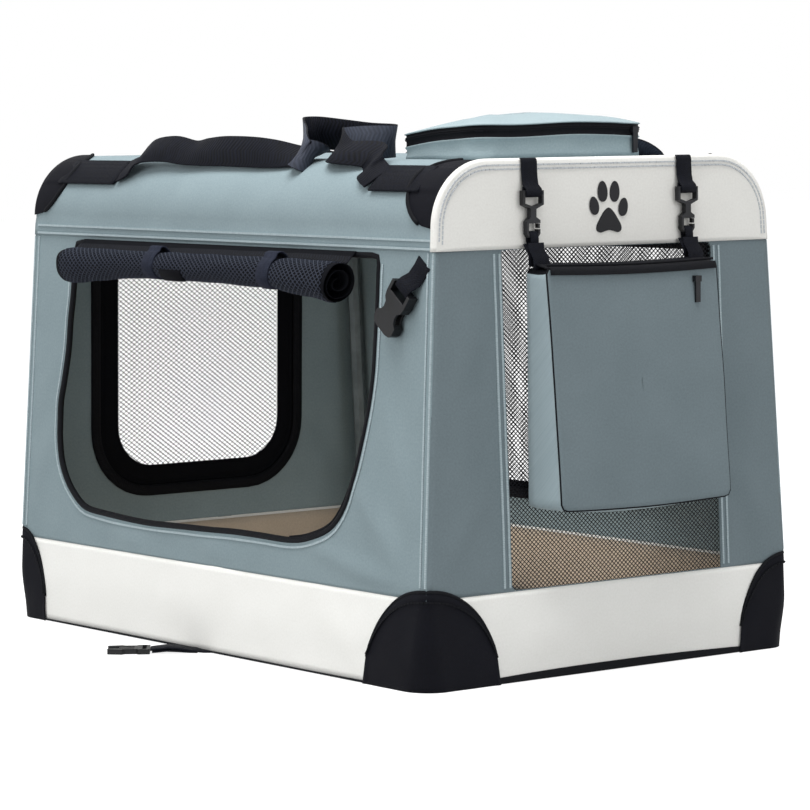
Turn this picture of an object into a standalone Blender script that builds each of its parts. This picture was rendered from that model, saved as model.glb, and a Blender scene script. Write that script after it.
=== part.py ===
"""A soft-sided folding pet carrier, modelled piece by piece.

Metres, +Z up. The front with its mesh window and hanging bag faces -Y, the long side with
the open doorway faces -X, and the carrier stands on the floor at z = 0.
"""
import math

import bmesh
import bpy
from mathutils import Matrix, Vector

# The sewn shell
BASE_WIDTH = 0.486
TOP_WIDTH = 0.428
BASE_LENGTH = 0.726
TOP_LENGTH = 0.704
SHELL_HEIGHT = 0.510
TOP_ROUND = 0.065
CLOTH = 0.002
GAP = 0.0003
TRAY_HEIGHT = 0.008
BAND_TOP = 0.090
SEAM_DROP = 0.085
SEAM_HEIGHT = SHELL_HEIGHT - SEAM_DROP
PATCH_CLOTH = 0.0015
BOTTOM_PATCH_HEIGHT = 0.105
BOTTOM_PATCH_REACH = 0.092
TOP_PATCH_REACH = 0.050

# Doorways, windows and their nets
DOOR_HALF = 0.272
DOOR_SHIFT = 0.010
DOOR_SILL = 0.127
HEAD_STRIP = 0.007
DOOR_HEAD = SEAM_HEIGHT - HEAD_STRIP
DOOR_LOW_ROUND = 0.085
DOOR_HIGH_ROUND = 0.014
REAR_DOOR_HALF = 0.142
REAR_DOOR_ROUND = 0.072
FRONT_WINDOW_HALF = 0.140
WINDOW_HEM = 0.007
ZIP_GAP = 0.0015
ZIP_CORNER = 0.004
NET_STRAND = 0.0030
NET_THICK = 0.0012
NET_MARGIN = 0.012
FRONT_NET_CELLS = (9, 10)
SIDE_DOOR_CELLS = (10, 6)
REAR_DOOR_CELLS = (7, 8)
DOOR_BORDER = 0.032

# Steel tubes, rails and hinges
TUBE_R = 0.008
RAIL_R = 0.006
TUBE_CLEAR = 0.0005
FRAME_CORNER = 0.020
HINGE_INSET = 0.017
HINGE_Y = min(BASE_LENGTH, TOP_LENGTH) / 2 - HINGE_INSET
HINGE_Z = 0.040
CROSS_DROP = 0.0255
CROSS_Z = SHELL_HEIGHT - CROSS_DROP
LEG_FOOT_INSET = 0.018
REAR_LEG_FOOT = BASE_WIDTH / 2 - LEG_FOOT_INSET
LEG_TOP_INSET = 0.0075
REAR_LEG_TOP = TOP_WIDTH / 2 - LEG_TOP_INSET
NEST = 0.0185
HOOP_CORNER = 0.055
LEG_BELOW_HINGE = 0.006
PIN_R = 0.0030
PIN_CLEAR = 0.0001
CHEEK = 0.0035
LEG_CLEAR = 0.0012
BRACKET_HALF_DEPTH = 0.011
BRACKET_TOP = 0.052
SLOT_FLOOR = 0.0290
RAIL_X = 0.118
RAIL_INSET = 0.005
RAIL_HALF_LENGTH = TOP_LENGTH / 2 - RAIL_INSET
CLIP_WIDTH = 0.024
CLIP_WALL = 0.004

# Floor
BOARD_THICK = 0.004
PAD_THICK = 0.017
PAD_CORNER = 0.050

# Rolled door, webbing and buckles
ROLL_R = 0.019
ROLL_WAIST_R = 0.0165
ROLL_DROP = 0.030
ROLL_HEIGHT = SEAM_HEIGHT - ROLL_DROP
ROLL_FRONT_INSET = 0.028
ROLL_REAR_INSET = 0.010
ROLL_FROM = DOOR_SHIFT - DOOR_HALF + ROLL_FRONT_INSET
ROLL_TO = DOOR_SHIFT + DOOR_HALF - ROLL_REAR_INSET
TIE_PLACES = (-0.125, 0.080)
TIE_WIDTH = 0.020
WEBBING = 0.002
BUCKLE_LEAN = math.radians(36)
BUCKLE_DEPTH = 0.011
BUCKLE_OUT = 0.0080
BUCKLE_INSET = 0.0435
BUCKLE_DROP = 0.0385
BUCKLE_HUB = (BUCKLE_INSET - BASE_LENGTH / 2, SEAM_HEIGHT - BUCKLE_DROP)
BUCKLE_BAR = (0.004, 0.005)
SIDE_LOOP_WIDTH = 0.022

# Carry handles
HANDLE_WIDTH = 0.034
HANDLE_ARC_LOW = 32
HANDLE_ARC_HIGH = 62
HANDLE_FRONT_END = 0.112
HANDLE_REAR_END = 0.142

# Top pocket
POCKET_HALF_WIDTH = 0.110
POCKET_SETBACK = 0.061
POCKET_LENGTH = 0.131
POCKET_FRONT = POCKET_SETBACK - TOP_LENGTH / 2
POCKET_BACK = POCKET_FRONT + POCKET_LENGTH
POCKET_HEIGHT = 0.045

# Hanging bag, its straps and snap hooks
HOOK_X = 0.102
STRAP_WIDTH = 0.020
STRAP_DROP = 0.0035
STRAP_TOP = SHELL_HEIGHT - STRAP_DROP
EYE_BAR_DROP = 0.0310
EYE_BAR_Z = SHELL_HEIGHT - EYE_BAR_DROP
HOOK_LENGTH = 0.0420
HOOK_BAR_Z = EYE_BAR_Z - HOOK_LENGTH
LOOP_BORE_R = 0.0039
LOOP_OUT_R = 0.0055
HOOK_THICK = 0.006
BAR_THICK = 0.004
BAG_WIDTH = 0.222
BAG_DEPTH = 0.036
BAG_BOTTOM_SWELL = 0.015
TAB_LENGTH = 0.031
BAG_TOP = HOOK_BAR_Z - TAB_LENGTH
BAG_HEIGHT = 0.234
BAG_BOTTOM = BAG_TOP - BAG_HEIGHT
TAB_WIDTH = 0.0100

# Strap under the base
BASE_STRAP_WIDTH = 0.025
BASE_STRAP_Y = 0.004
BASE_STRAP_LENGTH = 0.055
BASE_STRAP_TURN = math.radians(36)

SIDE_LEAN = (BASE_WIDTH - TOP_WIDTH) / 2 / SHELL_HEIGHT
END_LEAN = (BASE_LENGTH - TOP_LENGTH) / 2 / SHELL_HEIGHT

GREY = (0.28, 0.35, 0.37)
WHITE = (0.80, 0.79, 0.75)
BLACK = (0.016, 0.017, 0.022)
BEIGE = (0.76, 0.64, 0.50)
STEEL = (0.50, 0.50, 0.50)


for old in list(bpy.data.objects):
    bpy.data.objects.remove(old, do_unlink=True)

parts = bpy.data.collections.new("pet_carrier")
cutters = bpy.data.collections.new("cutters")
bpy.context.scene.collection.children.link(parts)
bpy.context.scene.collection.children.link(cutters)


def finish(obj, colour, roughness=0.8, metallic=0.0):
    """Give a sub-part its own Principled material and file it under the carrier."""
    mat = bpy.data.materials.new(obj.name)
    mat.use_nodes = True
    shader = mat.node_tree.nodes["Principled BSDF"]
    shader.inputs["Base Color"].default_value = (*colour, 1.0)
    shader.inputs["Roughness"].default_value = roughness
    shader.inputs["Metallic"].default_value = metallic
    obj.data.materials.clear()
    obj.data.materials.append(mat)
    for collection in list(obj.users_collection):
        collection.objects.unlink(obj)
    parts.objects.link(obj)
    return obj


def mesh_object(name, bm):
    """Turn a bmesh into an object."""
    mesh = bpy.data.meshes.new(name)
    bm.to_mesh(mesh)
    bm.free()
    obj = bpy.data.objects.new(name, mesh)
    parts.objects.link(obj)
    return obj


def mark_cutter(obj, target, operation="DIFFERENCE"):
    """Keep an object as a cutter, and let the target use it."""
    for collection in list(obj.users_collection):
        collection.objects.unlink(obj)
    cutters.objects.link(obj)
    obj.hide_render = True
    obj.display_type = "WIRE"
    boolean = target.modifiers.new(obj.name, "BOOLEAN")
    boolean.operation = operation
    boolean.object = obj
    boolean.solver = "EXACT"
    return obj


def box_mesh(size, centre):
    """A box as a bmesh, from a cube primitive."""
    bm = bmesh.new()
    bmesh.ops.create_cube(bm, size=1.0)
    bmesh.ops.scale(bm, vec=Vector(size), verts=bm.verts)
    bmesh.ops.translate(bm, vec=Vector(centre), verts=bm.verts)
    return bm


def rod_mesh(radius, length, centre, axis, segments=12):
    """A round rod as a bmesh, along the X, Y or Z axis."""
    bm = bmesh.new()
    bmesh.ops.create_cone(bm, cap_ends=True, segments=segments, radius1=radius,
                          radius2=radius, depth=length)
    turn = {"X": Matrix.Rotation(math.pi / 2, 3, "Y"), "Y": Matrix.Rotation(math.pi / 2, 3, "X"),
            "Z": Matrix.Identity(3)}[axis]
    bmesh.ops.rotate(bm, matrix=turn, cent=(0, 0, 0), verts=bm.verts)
    bmesh.ops.translate(bm, vec=Vector(centre), verts=bm.verts)
    return bm


def cut_box(target, name, size, centre):
    """Cut a box out of a sub-part; both keep the same placement."""
    cutter = mark_cutter(mesh_object(name, box_mesh(size, centre)), target)
    cutter.matrix_world = target.matrix_world.copy()


def cut_rod(target, name, radius, length, centre, axis, segments=16):
    """Cut a round hole whose flats clear the given radius."""
    reach = radius / math.cos(math.pi / segments)
    cutter = mark_cutter(mesh_object(name, rod_mesh(reach, length, centre, axis, segments)), target)
    cutter.matrix_world = target.matrix_world.copy()


def bevel(obj, width, segments=1):
    """Round the edges of a rigid or padded piece."""
    modifier = obj.modifiers.new("rounded edges", "BEVEL")
    modifier.width = width
    modifier.segments = segments
    modifier.limit_method = "ANGLE"
    return obj


def solidify(obj, thickness, outward):
    """Give a sheet its thickness, on the side its faces point to or away from."""
    modifier = obj.modifiers.new("cloth thickness", "SOLIDIFY")
    modifier.thickness = thickness
    modifier.offset = 1.0 if outward else -1.0
    modifier.use_even_offset = True
    return obj


def tube(name, points, radius, cyclic=False, resolution=2):
    """A tube along a run of points."""
    curve = bpy.data.curves.new(name, "CURVE")
    curve.dimensions = "3D"
    curve.bevel_depth = radius
    curve.bevel_resolution = resolution
    curve.use_fill_caps = True
    spline = curve.splines.new("POLY")
    spline.points.add(len(points) - 1)
    for point, place in zip(spline.points, points):
        point.co = (*place, 1.0)
    spline.use_cyclic_u = cyclic
    obj = bpy.data.objects.new(name, curve)
    parts.objects.link(obj)
    return obj


def flat_outline(name, outlines, thickness):
    """A flat piece: the first outline is its edge and the others are holes."""
    curve = bpy.data.curves.new(name, "CURVE")
    curve.dimensions = "2D"
    curve.fill_mode = "BOTH"
    curve.extrude = thickness / 2
    for outline in outlines:
        spline = curve.splines.new("POLY")
        spline.points.add(len(outline) - 1)
        for point, (along, up) in zip(spline.points, outline):
            point.co = (along, up, 0.0, 1.0)
        spline.use_cyclic_u = True
    obj = bpy.data.objects.new(name, curve)
    parts.objects.link(obj)
    return obj


def as_mesh(obj):
    """Swap a curve for its welded mesh, so that it can be cut or joined."""
    bpy.context.view_layer.update()
    name = obj.name
    place = obj.matrix_world.copy()
    mesh = bpy.data.meshes.new_from_object(obj.evaluated_get(bpy.context.evaluated_depsgraph_get()))
    bpy.data.objects.remove(obj, do_unlink=True)
    bm = bmesh.new()
    bm.from_mesh(mesh)
    bmesh.ops.remove_doubles(bm, verts=bm.verts, dist=0.00001)
    bmesh.ops.recalc_face_normals(bm, faces=bm.faces)
    bm.to_mesh(mesh)
    bm.free()
    fresh = bpy.data.objects.new(name, mesh)
    fresh.matrix_world = place
    parts.objects.link(fresh)
    return fresh


def smooth(obj):
    """Shade a round piece smooth, with its sharp edges kept."""
    obj.data.shade_smooth()
    obj.data.set_sharp_from_angle(angle=math.radians(40))
    return obj


def half_width(z):
    """Half of the shell's outer width at a height."""
    return BASE_WIDTH / 2 - SIDE_LEAN * z


def half_length(z):
    """Half of the shell's outer length at a height."""
    return BASE_LENGTH / 2 - END_LEAN * z


def arc(centre, radius, start, end, steps):
    """Points along an arc, angles in degrees."""
    spread = [start + (end - start) * k / steps for k in range(steps + 1)]
    return [(centre[0] + radius * math.cos(math.radians(a)),
             centre[1] + radius * math.sin(math.radians(a))) for a in spread]


SIDES = {
    "near": ((-BASE_WIDTH / 2, 0, 0), (SIDE_LEAN, 0, 1), (-1, 0, SIDE_LEAN)),
    "far": ((BASE_WIDTH / 2, 0, 0), (-SIDE_LEAN, 0, 1), (1, 0, SIDE_LEAN)),
    "front": ((0, -BASE_LENGTH / 2, 0), (0, END_LEAN, 1), (0, -1, END_LEAN)),
    "rear": ((0, BASE_LENGTH / 2, 0), (0, -END_LEAN, 1), (0, 1, END_LEAN)),
}
# Which way a wall's own flat axis runs, against +Y on a long side and +X on an end
ALONG = {"near": -1, "far": 1, "front": 1, "rear": -1}


def wall_frame(side, across=0.0, z=0.0, out=0.0):
    """The place of a leaning wall: along it, up its slope, and out of its face."""
    origin, slope, normal = (Vector(v) for v in SIDES[side])
    unit_up = slope.normalized()
    unit_out = normal.normalized()
    along = unit_up.cross(unit_out)
    place = origin + slope * z + along * (ALONG[side] * across) + unit_out * out
    frame = Matrix((along, unit_up, unit_out)).transposed().to_4x4()
    frame.translation = place
    return frame


def slope_scale(side):
    """Length up the slope for one unit of height."""
    return Vector(SIDES[side][1]).length


def wall_panel(name, side, outlines, thickness=CLOTH, out=0.0):
    """A flat cloth panel in a leaning wall, from outlines of places across and heights."""
    scale = slope_scale(side)
    local = [[(ALONG[side] * a, z * scale) for a, z in outline] for outline in outlines]
    obj = flat_outline(name, local, thickness)
    obj.matrix_world = wall_frame(side, out=out - thickness / 2)
    return obj


def opening(half, shift, low, high, low_round, high_round, shrink=0.0):
    """An opening with rounded corners, as places across and heights."""
    left, right = shift - half + shrink, shift + half - shrink
    bottom, top = low + shrink, high - shrink
    low_r, high_r = low_round - shrink, high_round - shrink
    points = arc((right - low_r, bottom + low_r), low_r, -90, 0, 6)
    points += arc((right - high_r, top - high_r), high_r, 0, 90, 3)
    points += arc((left + high_r, top - high_r), high_r, 90, 180, 3)
    points += arc((left + low_r, bottom + low_r), low_r, 180, 270, 6)
    return points


def roof_profile(inset, low):
    """The rounded roof's section at an inset from its face, from the far side to the near side."""
    bend_z = SHELL_HEIGHT - TOP_ROUND
    bend_x = half_width(bend_z) - TOP_ROUND
    half = [(half_width(low) - inset, low)]
    half += arc((bend_x, bend_z), TOP_ROUND - inset, 0, 90, 6)
    return half + [(-x, z) for x, z in reversed(half)]


def ring_wall(name, low, high, inset=0.0):
    """A leaning wall all round the carrier, between two heights."""
    bm = bmesh.new()
    bmesh.ops.create_cube(bm, size=2.0)
    for vert in bm.verts:
        z = high if vert.co.z > 0 else low
        vert.co = ((half_width(z) - inset) * vert.co.x, (half_length(z) - inset) * vert.co.y, z)
    ends = [face for face in bm.faces if abs(face.normal.z) > 0.9]
    bmesh.ops.delete(bm, geom=ends, context="FACES_ONLY")
    return solidify(mesh_object(name, bm), CLOTH, outward=False)


def bottom_tray():
    """The black base cloth, with its binding turned up round the edge."""
    bm = bmesh.new()
    bmesh.ops.create_cube(bm, size=2.0)
    for vert in bm.verts:
        z = TRAY_HEIGHT if vert.co.z > 0 else 0.0
        vert.co = (half_width(z) * vert.co.x, half_length(z) * vert.co.y, z)
    top = [face for face in bm.faces if face.normal.z > 0.9]
    bmesh.ops.delete(bm, geom=top, context="FACES_ONLY")
    finish(solidify(mesh_object("bottom_cloth", bm), CLOTH, outward=False), BLACK)


def corner_patch(name, sx, sy):
    """A dome of black cloth wrapped round a bottom corner."""
    steps = 7
    bm = bmesh.new()
    foot = bm.verts.new((sx * (half_width(0) + GAP), sy * (half_length(0) + GAP), 0))
    peak_z = BOTTOM_PATCH_HEIGHT
    peak = bm.verts.new((sx * (half_width(peak_z) + GAP), sy * (half_length(peak_z) + GAP), peak_z))
    flanks = []
    for long_side in (True, False):
        rim = []
        for k in range(steps):
            turn = math.pi / 2 * k / steps
            reach = BOTTOM_PATCH_REACH * math.cos(turn)
            z = BOTTOM_PATCH_HEIGHT * math.sin(turn) ** 0.8
            x, y = half_width(z) + GAP, half_length(z) + GAP
            place = (x, y - reach, z) if long_side else (x - reach, y, z)
            rim.append(bm.verts.new((sx * place[0], sy * place[1], z)))
        flanks.append(bm.faces.new([foot] + rim + [peak]))
    bmesh.ops.recalc_face_normals(bm, faces=bm.faces)
    outward = Vector((sx, sy, 0))
    for face in flanks:
        if face.normal.dot(outward) < 0:
            face.normal_flip()
    finish(solidify(mesh_object(name, bm), PATCH_CLOTH, outward=True), BLACK, 0.6)


def top_patch(name, sx, sy, strip_end):
    """The patch on a top corner, with the end of the handle webbing sewn along the roof's edge."""
    bend_z = SHELL_HEIGHT - TOP_ROUND
    bend_x = half_width(bend_z) - TOP_ROUND
    radius = TOP_ROUND + GAP
    angles = [2, 8, 18, 28, HANDLE_ARC_LOW - 1, HANDLE_ARC_LOW, 47, HANDLE_ARC_HIGH,
              HANDLE_ARC_HIGH + 1, 70, 80, 88]
    bm = bmesh.new()
    rows = []
    for angle in angles:
        turn = math.radians(angle)
        x = bend_x + radius * math.cos(turn)
        z = bend_z + radius * math.sin(turn)
        dome = TOP_PATCH_REACH * math.sin(math.pi * angle / 90) ** 0.5
        reach = strip_end if HANDLE_ARC_LOW <= angle <= HANDLE_ARC_HIGH else dome
        end = half_length(z)
        rows.append((bm.verts.new((sx * x, sy * end, z)), bm.verts.new((sx * x, sy * (end - reach), z))))
    faces = [bm.faces.new((a[0], a[1], b[1], b[0])) for a, b in zip(rows, rows[1:])]
    bmesh.ops.recalc_face_normals(bm, faces=faces)
    if faces[0].normal.x * sx < 0:
        bmesh.ops.reverse_faces(bm, faces=faces)
    finish(solidify(mesh_object(name, bm), PATCH_CLOTH, outward=True), BLACK, 0.5)


def roof_cloth():
    """The roof and the upper strip of both long sides, one cloth over the rails."""
    bm = bmesh.new()
    front = [bm.verts.new((x, -half_length(z), z)) for x, z in roof_profile(0.0, SEAM_HEIGHT)]
    edges = [bm.edges.new(pair) for pair in zip(front, front[1:])]
    grown = bmesh.ops.extrude_edge_only(bm, edges=edges)["geom"]
    for vert in (item for item in grown if isinstance(item, bmesh.types.BMVert)):
        vert.co.y = half_length(vert.co.z)
    flat = max(bm.faces, key=lambda face: face.calc_center_median().z)
    if flat.normal.z < 0:
        bmesh.ops.reverse_faces(bm, faces=bm.faces)
    finish(solidify(mesh_object("roof_cloth", bm), CLOTH, outward=False), GREY)


def end_outline(low):
    """The outline of an end panel that closes the rounded roof."""
    return roof_profile(CLOTH + GAP, low)


def net_grid(width, height, cells, border=None):
    """A flat net: a grid whose cells are inset and opened, with solid border cells if asked."""
    columns, rows = cells
    bm = bmesh.new()
    bmesh.ops.create_grid(bm, x_segments=columns, y_segments=rows, size=0.5)
    if border:
        xs = [-width / 2] + [-width / 2 + border + (width - 2 * border) * k / (columns - 2)
                             for k in range(columns - 1)] + [width / 2]
        ys = [0.0] + [border + (height - 2 * border) * k / (rows - 2)
                      for k in range(rows - 1)] + [height]
    else:
        xs = [width * (k / columns - 0.5) for k in range(columns + 1)]
        ys = [height * k / rows for k in range(rows + 1)]
    for vert in bm.verts:
        vert.co = (xs[round((vert.co.x + 0.5) * columns)], ys[round((vert.co.y + 0.5) * rows)], 0)
    open_cells = []
    for face in bm.faces:
        centre = face.calc_center_median()
        inside = not border or (abs(centre.x) < width / 2 - border and border < centre.y < height - border)
        if inside:
            open_cells.append(face)
    bmesh.ops.inset_individual(bm, faces=open_cells, thickness=NET_STRAND / 2)
    bmesh.ops.delete(bm, geom=open_cells, context="FACES")
    return bm


def round_corner(vert, half_x, half_y, radius):
    """Bend the square corners of a flat piece, centred on its origin, into quarter circles."""
    s = (abs(vert.co.x) - (half_x - radius)) / radius
    t = (abs(vert.co.y) - (half_y - radius)) / radius
    if s > 0 and t > 0:
        x = half_x - radius + s * math.sqrt(1 - t * t / 2) * radius
        y = half_y - radius + t * math.sqrt(1 - s * s / 2) * radius
        vert.co.x = math.copysign(x, vert.co.x)
        vert.co.y = math.copysign(y, vert.co.y)


def front_net():
    """The fixed mesh window, sewn behind the front panel."""
    width = 2 * (FRONT_WINDOW_HALF + NET_MARGIN)
    scale = slope_scale("front")
    low = BAND_TOP + WINDOW_HEM - NET_MARGIN
    high = SEAM_HEIGHT - WINDOW_HEM + NET_MARGIN
    obj = mesh_object("front_mesh", net_grid(width, (high - low) * scale, FRONT_NET_CELLS))
    obj.matrix_world = wall_frame("front", z=low, out=-CLOTH - GAP)
    finish(solidify(obj, NET_THICK, outward=False), BLACK)


def mesh_door(name, side, half, shift, cells, corner):
    """A zipped mesh door that fills its doorway, hinged on the seam above it."""
    scale = slope_scale(side)
    width = 2 * (half - ZIP_GAP)
    height = (DOOR_HEAD - DOOR_SILL - 2 * ZIP_GAP) * scale
    bm = net_grid(width, height, cells, DOOR_BORDER)
    for vert in bm.verts:
        if vert.co.y < height / 2:
            vert.co.y -= height / 2
            round_corner(vert, width / 2, height / 2, corner - ZIP_GAP)
            vert.co.y += height / 2
    obj = mesh_object(name, bm)
    obj.matrix_world = wall_frame(side, across=shift, z=DOOR_SILL + ZIP_GAP)
    finish(solidify(obj, PATCH_CLOTH, outward=False), BLACK)


def frame_loop():
    """The steel loop round the base."""
    x = half_width(TUBE_R) - CLOTH - TUBE_R - TUBE_CLEAR * 2
    y = half_length(TUBE_R) - CLOTH - TUBE_R - TUBE_CLEAR * 2
    z = CLOTH + TUBE_CLEAR + TUBE_R
    r = FRAME_CORNER
    corners = (((x - r, y - r), 0), ((-x + r, y - r), 90), ((-x + r, -y + r), 180), ((x - r, -y + r), 270))
    points = []
    for centre, start in corners:
        points += [(px, py, z) for px, py in arc(centre, r, start, start + 90, 4)]
    finish(tube("base_frame", points, TUBE_R, cyclic=True), STEEL, 0.35, 0.9)
    return points


def hoop(name, sy, narrower):
    """A steel hoop that stands across one end, with a pin hole in each leg."""
    foot_x = REAR_LEG_FOOT - narrower
    top_x = REAR_LEG_TOP - narrower
    foot_z = HINGE_Z - LEG_BELOW_HINGE
    lean = (foot_x - top_x) / (CROSS_Z - HOOP_CORNER - HINGE_Z)
    half = [(foot_x + lean * LEG_BELOW_HINGE, foot_z)]
    half += arc((top_x - HOOP_CORNER, CROSS_Z - HOOP_CORNER), HOOP_CORNER, 0, 90, 6)
    points = [(x, sy * HINGE_Y, z) for x, z in half]
    points += [(-x, sy * HINGE_Y, z) for x, z in reversed(half)]
    obj = as_mesh(tube(name, points, TUBE_R))
    for sx in (-1, 1):
        cut_rod(obj, f"{name} pin hole", PIN_R + PIN_CLEAR, 0.03, (sx * foot_x, sy * HINGE_Y, HINGE_Z), "X")
    finish(obj, STEEL, 0.35, 0.9)
    return foot_x


def hinge_bracket(name, pin_name, sx, sy, leg_x, loop):
    """A moulded saddle on the base loop that holds one leg between two cheeks, and its pin."""
    frame_x, frame_z = loop[0][0], loop[0][2]
    inner = leg_x - TUBE_R - LEG_CLEAR - CHEEK
    outer = half_width(BRACKET_TOP) - CLOTH - GAP
    size = (outer - inner, 2 * BRACKET_HALF_DEPTH, BRACKET_TOP - frame_z)
    centre = (sx * (outer + inner) / 2, sy * HINGE_Y, (BRACKET_TOP + frame_z) / 2)
    obj = bevel(mesh_object(name, box_mesh(size, centre)), 0.0015)
    slot = 2 * (TUBE_R + LEG_CLEAR)
    cut_box(obj, f"{name} leg slot", (slot, 0.06, 0.04), (sx * leg_x, sy * HINGE_Y, SLOT_FLOOR + 0.02))
    shelf = CLOTH + GAP + BOARD_THICK + GAP + PAD_THICK + TUBE_CLEAR
    clear_to = frame_x - TUBE_R
    cut_box(obj, f"{name} pad room", (0.08, 0.06, shelf),
            (sx * (clear_to - 0.04), sy * HINGE_Y, shelf / 2))
    mark_cutter(as_mesh(tube(f"{name} tube seat", loop, TUBE_R + TUBE_CLEAR, cyclic=True)), obj)
    cut_rod(obj, f"{name} pin bore", PIN_R + PIN_CLEAR, 0.1, (sx * leg_x, sy * HINGE_Y, HINGE_Z), "X")
    finish(obj, BLACK, 0.45)
    pin_reach = slot / 2 + CHEEK - GAP
    pin_inner = leg_x - pin_reach
    pin_outer = min(leg_x + pin_reach, outer)
    pin_centre = (sx * (pin_inner + pin_outer) / 2, sy * HINGE_Y, HINGE_Z)
    pin = rod_mesh(PIN_R, pin_outer - pin_inner, pin_centre, "X")
    finish(mesh_object(pin_name, pin), STEEL, 0.3, 1.0)


def rail_height():
    """The roof rails lie on the clips, with a wall of the clip between rail and cross tube."""
    return CROSS_Z + TUBE_R + RAIL_R + 2 * TUBE_CLEAR + 0.002


def rear_clip(name, sx):
    """A clip that turns on the rear hoop's cross tube, with a channel that the rail slides in."""
    low = CROSS_Z - TUBE_R - CLIP_WALL
    high = rail_height()
    depth = 2 * (TUBE_R + CLIP_WALL)
    obj = bevel(mesh_object(name, box_mesh((CLIP_WIDTH, depth, high - low),
                                           (sx * RAIL_X, HINGE_Y, (high + low) / 2))), 0.0015)
    cut_rod(obj, f"{name} tube bore", TUBE_R + TUBE_CLEAR, 0.1, (sx * RAIL_X, HINGE_Y, CROSS_Z), "X")
    cut_rod(obj, f"{name} rail channel", RAIL_R + TUBE_CLEAR, 0.1, (sx * RAIL_X, HINGE_Y, high), "Y")
    finish(obj, BLACK, 0.45)


def front_clip(name, sx):
    """A clip fixed under the rail, open inwards, so that the front hoop can leave it."""
    low = CROSS_Z - TUBE_R - CLIP_WALL
    high = rail_height()
    outer = -HINGE_Y - TUBE_R - TUBE_CLEAR - CLIP_WALL
    inner = -HINGE_Y + TUBE_R
    obj = bevel(mesh_object(name, box_mesh((CLIP_WIDTH, inner - outer, high - low),
                                           (sx * RAIL_X, (inner + outer) / 2, (high + low) / 2))), 0.0015)
    cut_rod(obj, f"{name} tube seat", TUBE_R + TUBE_CLEAR, 0.1, (sx * RAIL_X, -HINGE_Y, CROSS_Z), "X")
    mouth = 2 * (TUBE_R + TUBE_CLEAR)
    cut_box(obj, f"{name} mouth", (0.1, 0.05, mouth), (sx * RAIL_X, -HINGE_Y + 0.025, CROSS_Z))
    cut_rod(obj, f"{name} rail channel", RAIL_R + GAP, 0.1, (sx * RAIL_X, -HINGE_Y, high), "Y")
    finish(obj, BLACK, 0.45)


def floor_pieces(loop):
    """The stiff floor board, and the fleece pad on it with its crowned top."""
    inner_x = loop[0][0] - TUBE_R - TUBE_CLEAR
    inner_y = half_length(TUBE_R) - CLOTH - 2 * TUBE_R - 3 * TUBE_CLEAR
    low = CLOTH + GAP
    board = box_mesh((2 * inner_x, 2 * inner_y, BOARD_THICK), (0, 0, low + BOARD_THICK / 2))
    cut = mesh_object("floor_board", board)
    modifier = bevel(cut, FRAME_CORNER - TUBE_R, 4).modifiers[0]
    modifier.limit_method = "WEIGHT"
    bm = bmesh.new()
    bm.from_mesh(cut.data)
    weight = bm.edges.layers.float.new("bevel_weight_edge")
    for edge in bm.edges:
        upright = abs(edge.verts[0].co.z - edge.verts[1].co.z) > BOARD_THICK / 2
        edge[weight] = 1.0 if upright else 0.0
    bm.to_mesh(cut.data)
    bm.free()
    finish(cut, BLACK, 0.7)

    base = low + BOARD_THICK + GAP
    rows = 12
    bm = bmesh.new()
    bmesh.ops.create_grid(bm, x_segments=8, y_segments=rows, size=1.0)
    for vert in bm.verts:
        across, along = vert.co.x, vert.co.y
        crown = (1 - across ** 8) * (1 - along ** 8)
        pull = 1 - 0.012 * (1 - max(abs(across), abs(along)) ** 2)
        vert.co = (inner_x * 0.995 * across * pull, inner_y * 0.998 * along * pull,
                   base + PAD_THICK * (0.45 + 0.55 * crown))
        round_corner(vert, inner_x * 0.995, inner_y * 0.998, PAD_CORNER)
    grown = bmesh.ops.extrude_face_region(bm, geom=list(bm.faces))["geom"]
    for vert in (item for item in grown if isinstance(item, bmesh.types.BMVert)):
        vert.co.z = base
    bmesh.ops.recalc_face_normals(bm, faces=bm.faces)
    finish(mesh_object("floor_pad", bm), BEIGE, 0.95)


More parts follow.
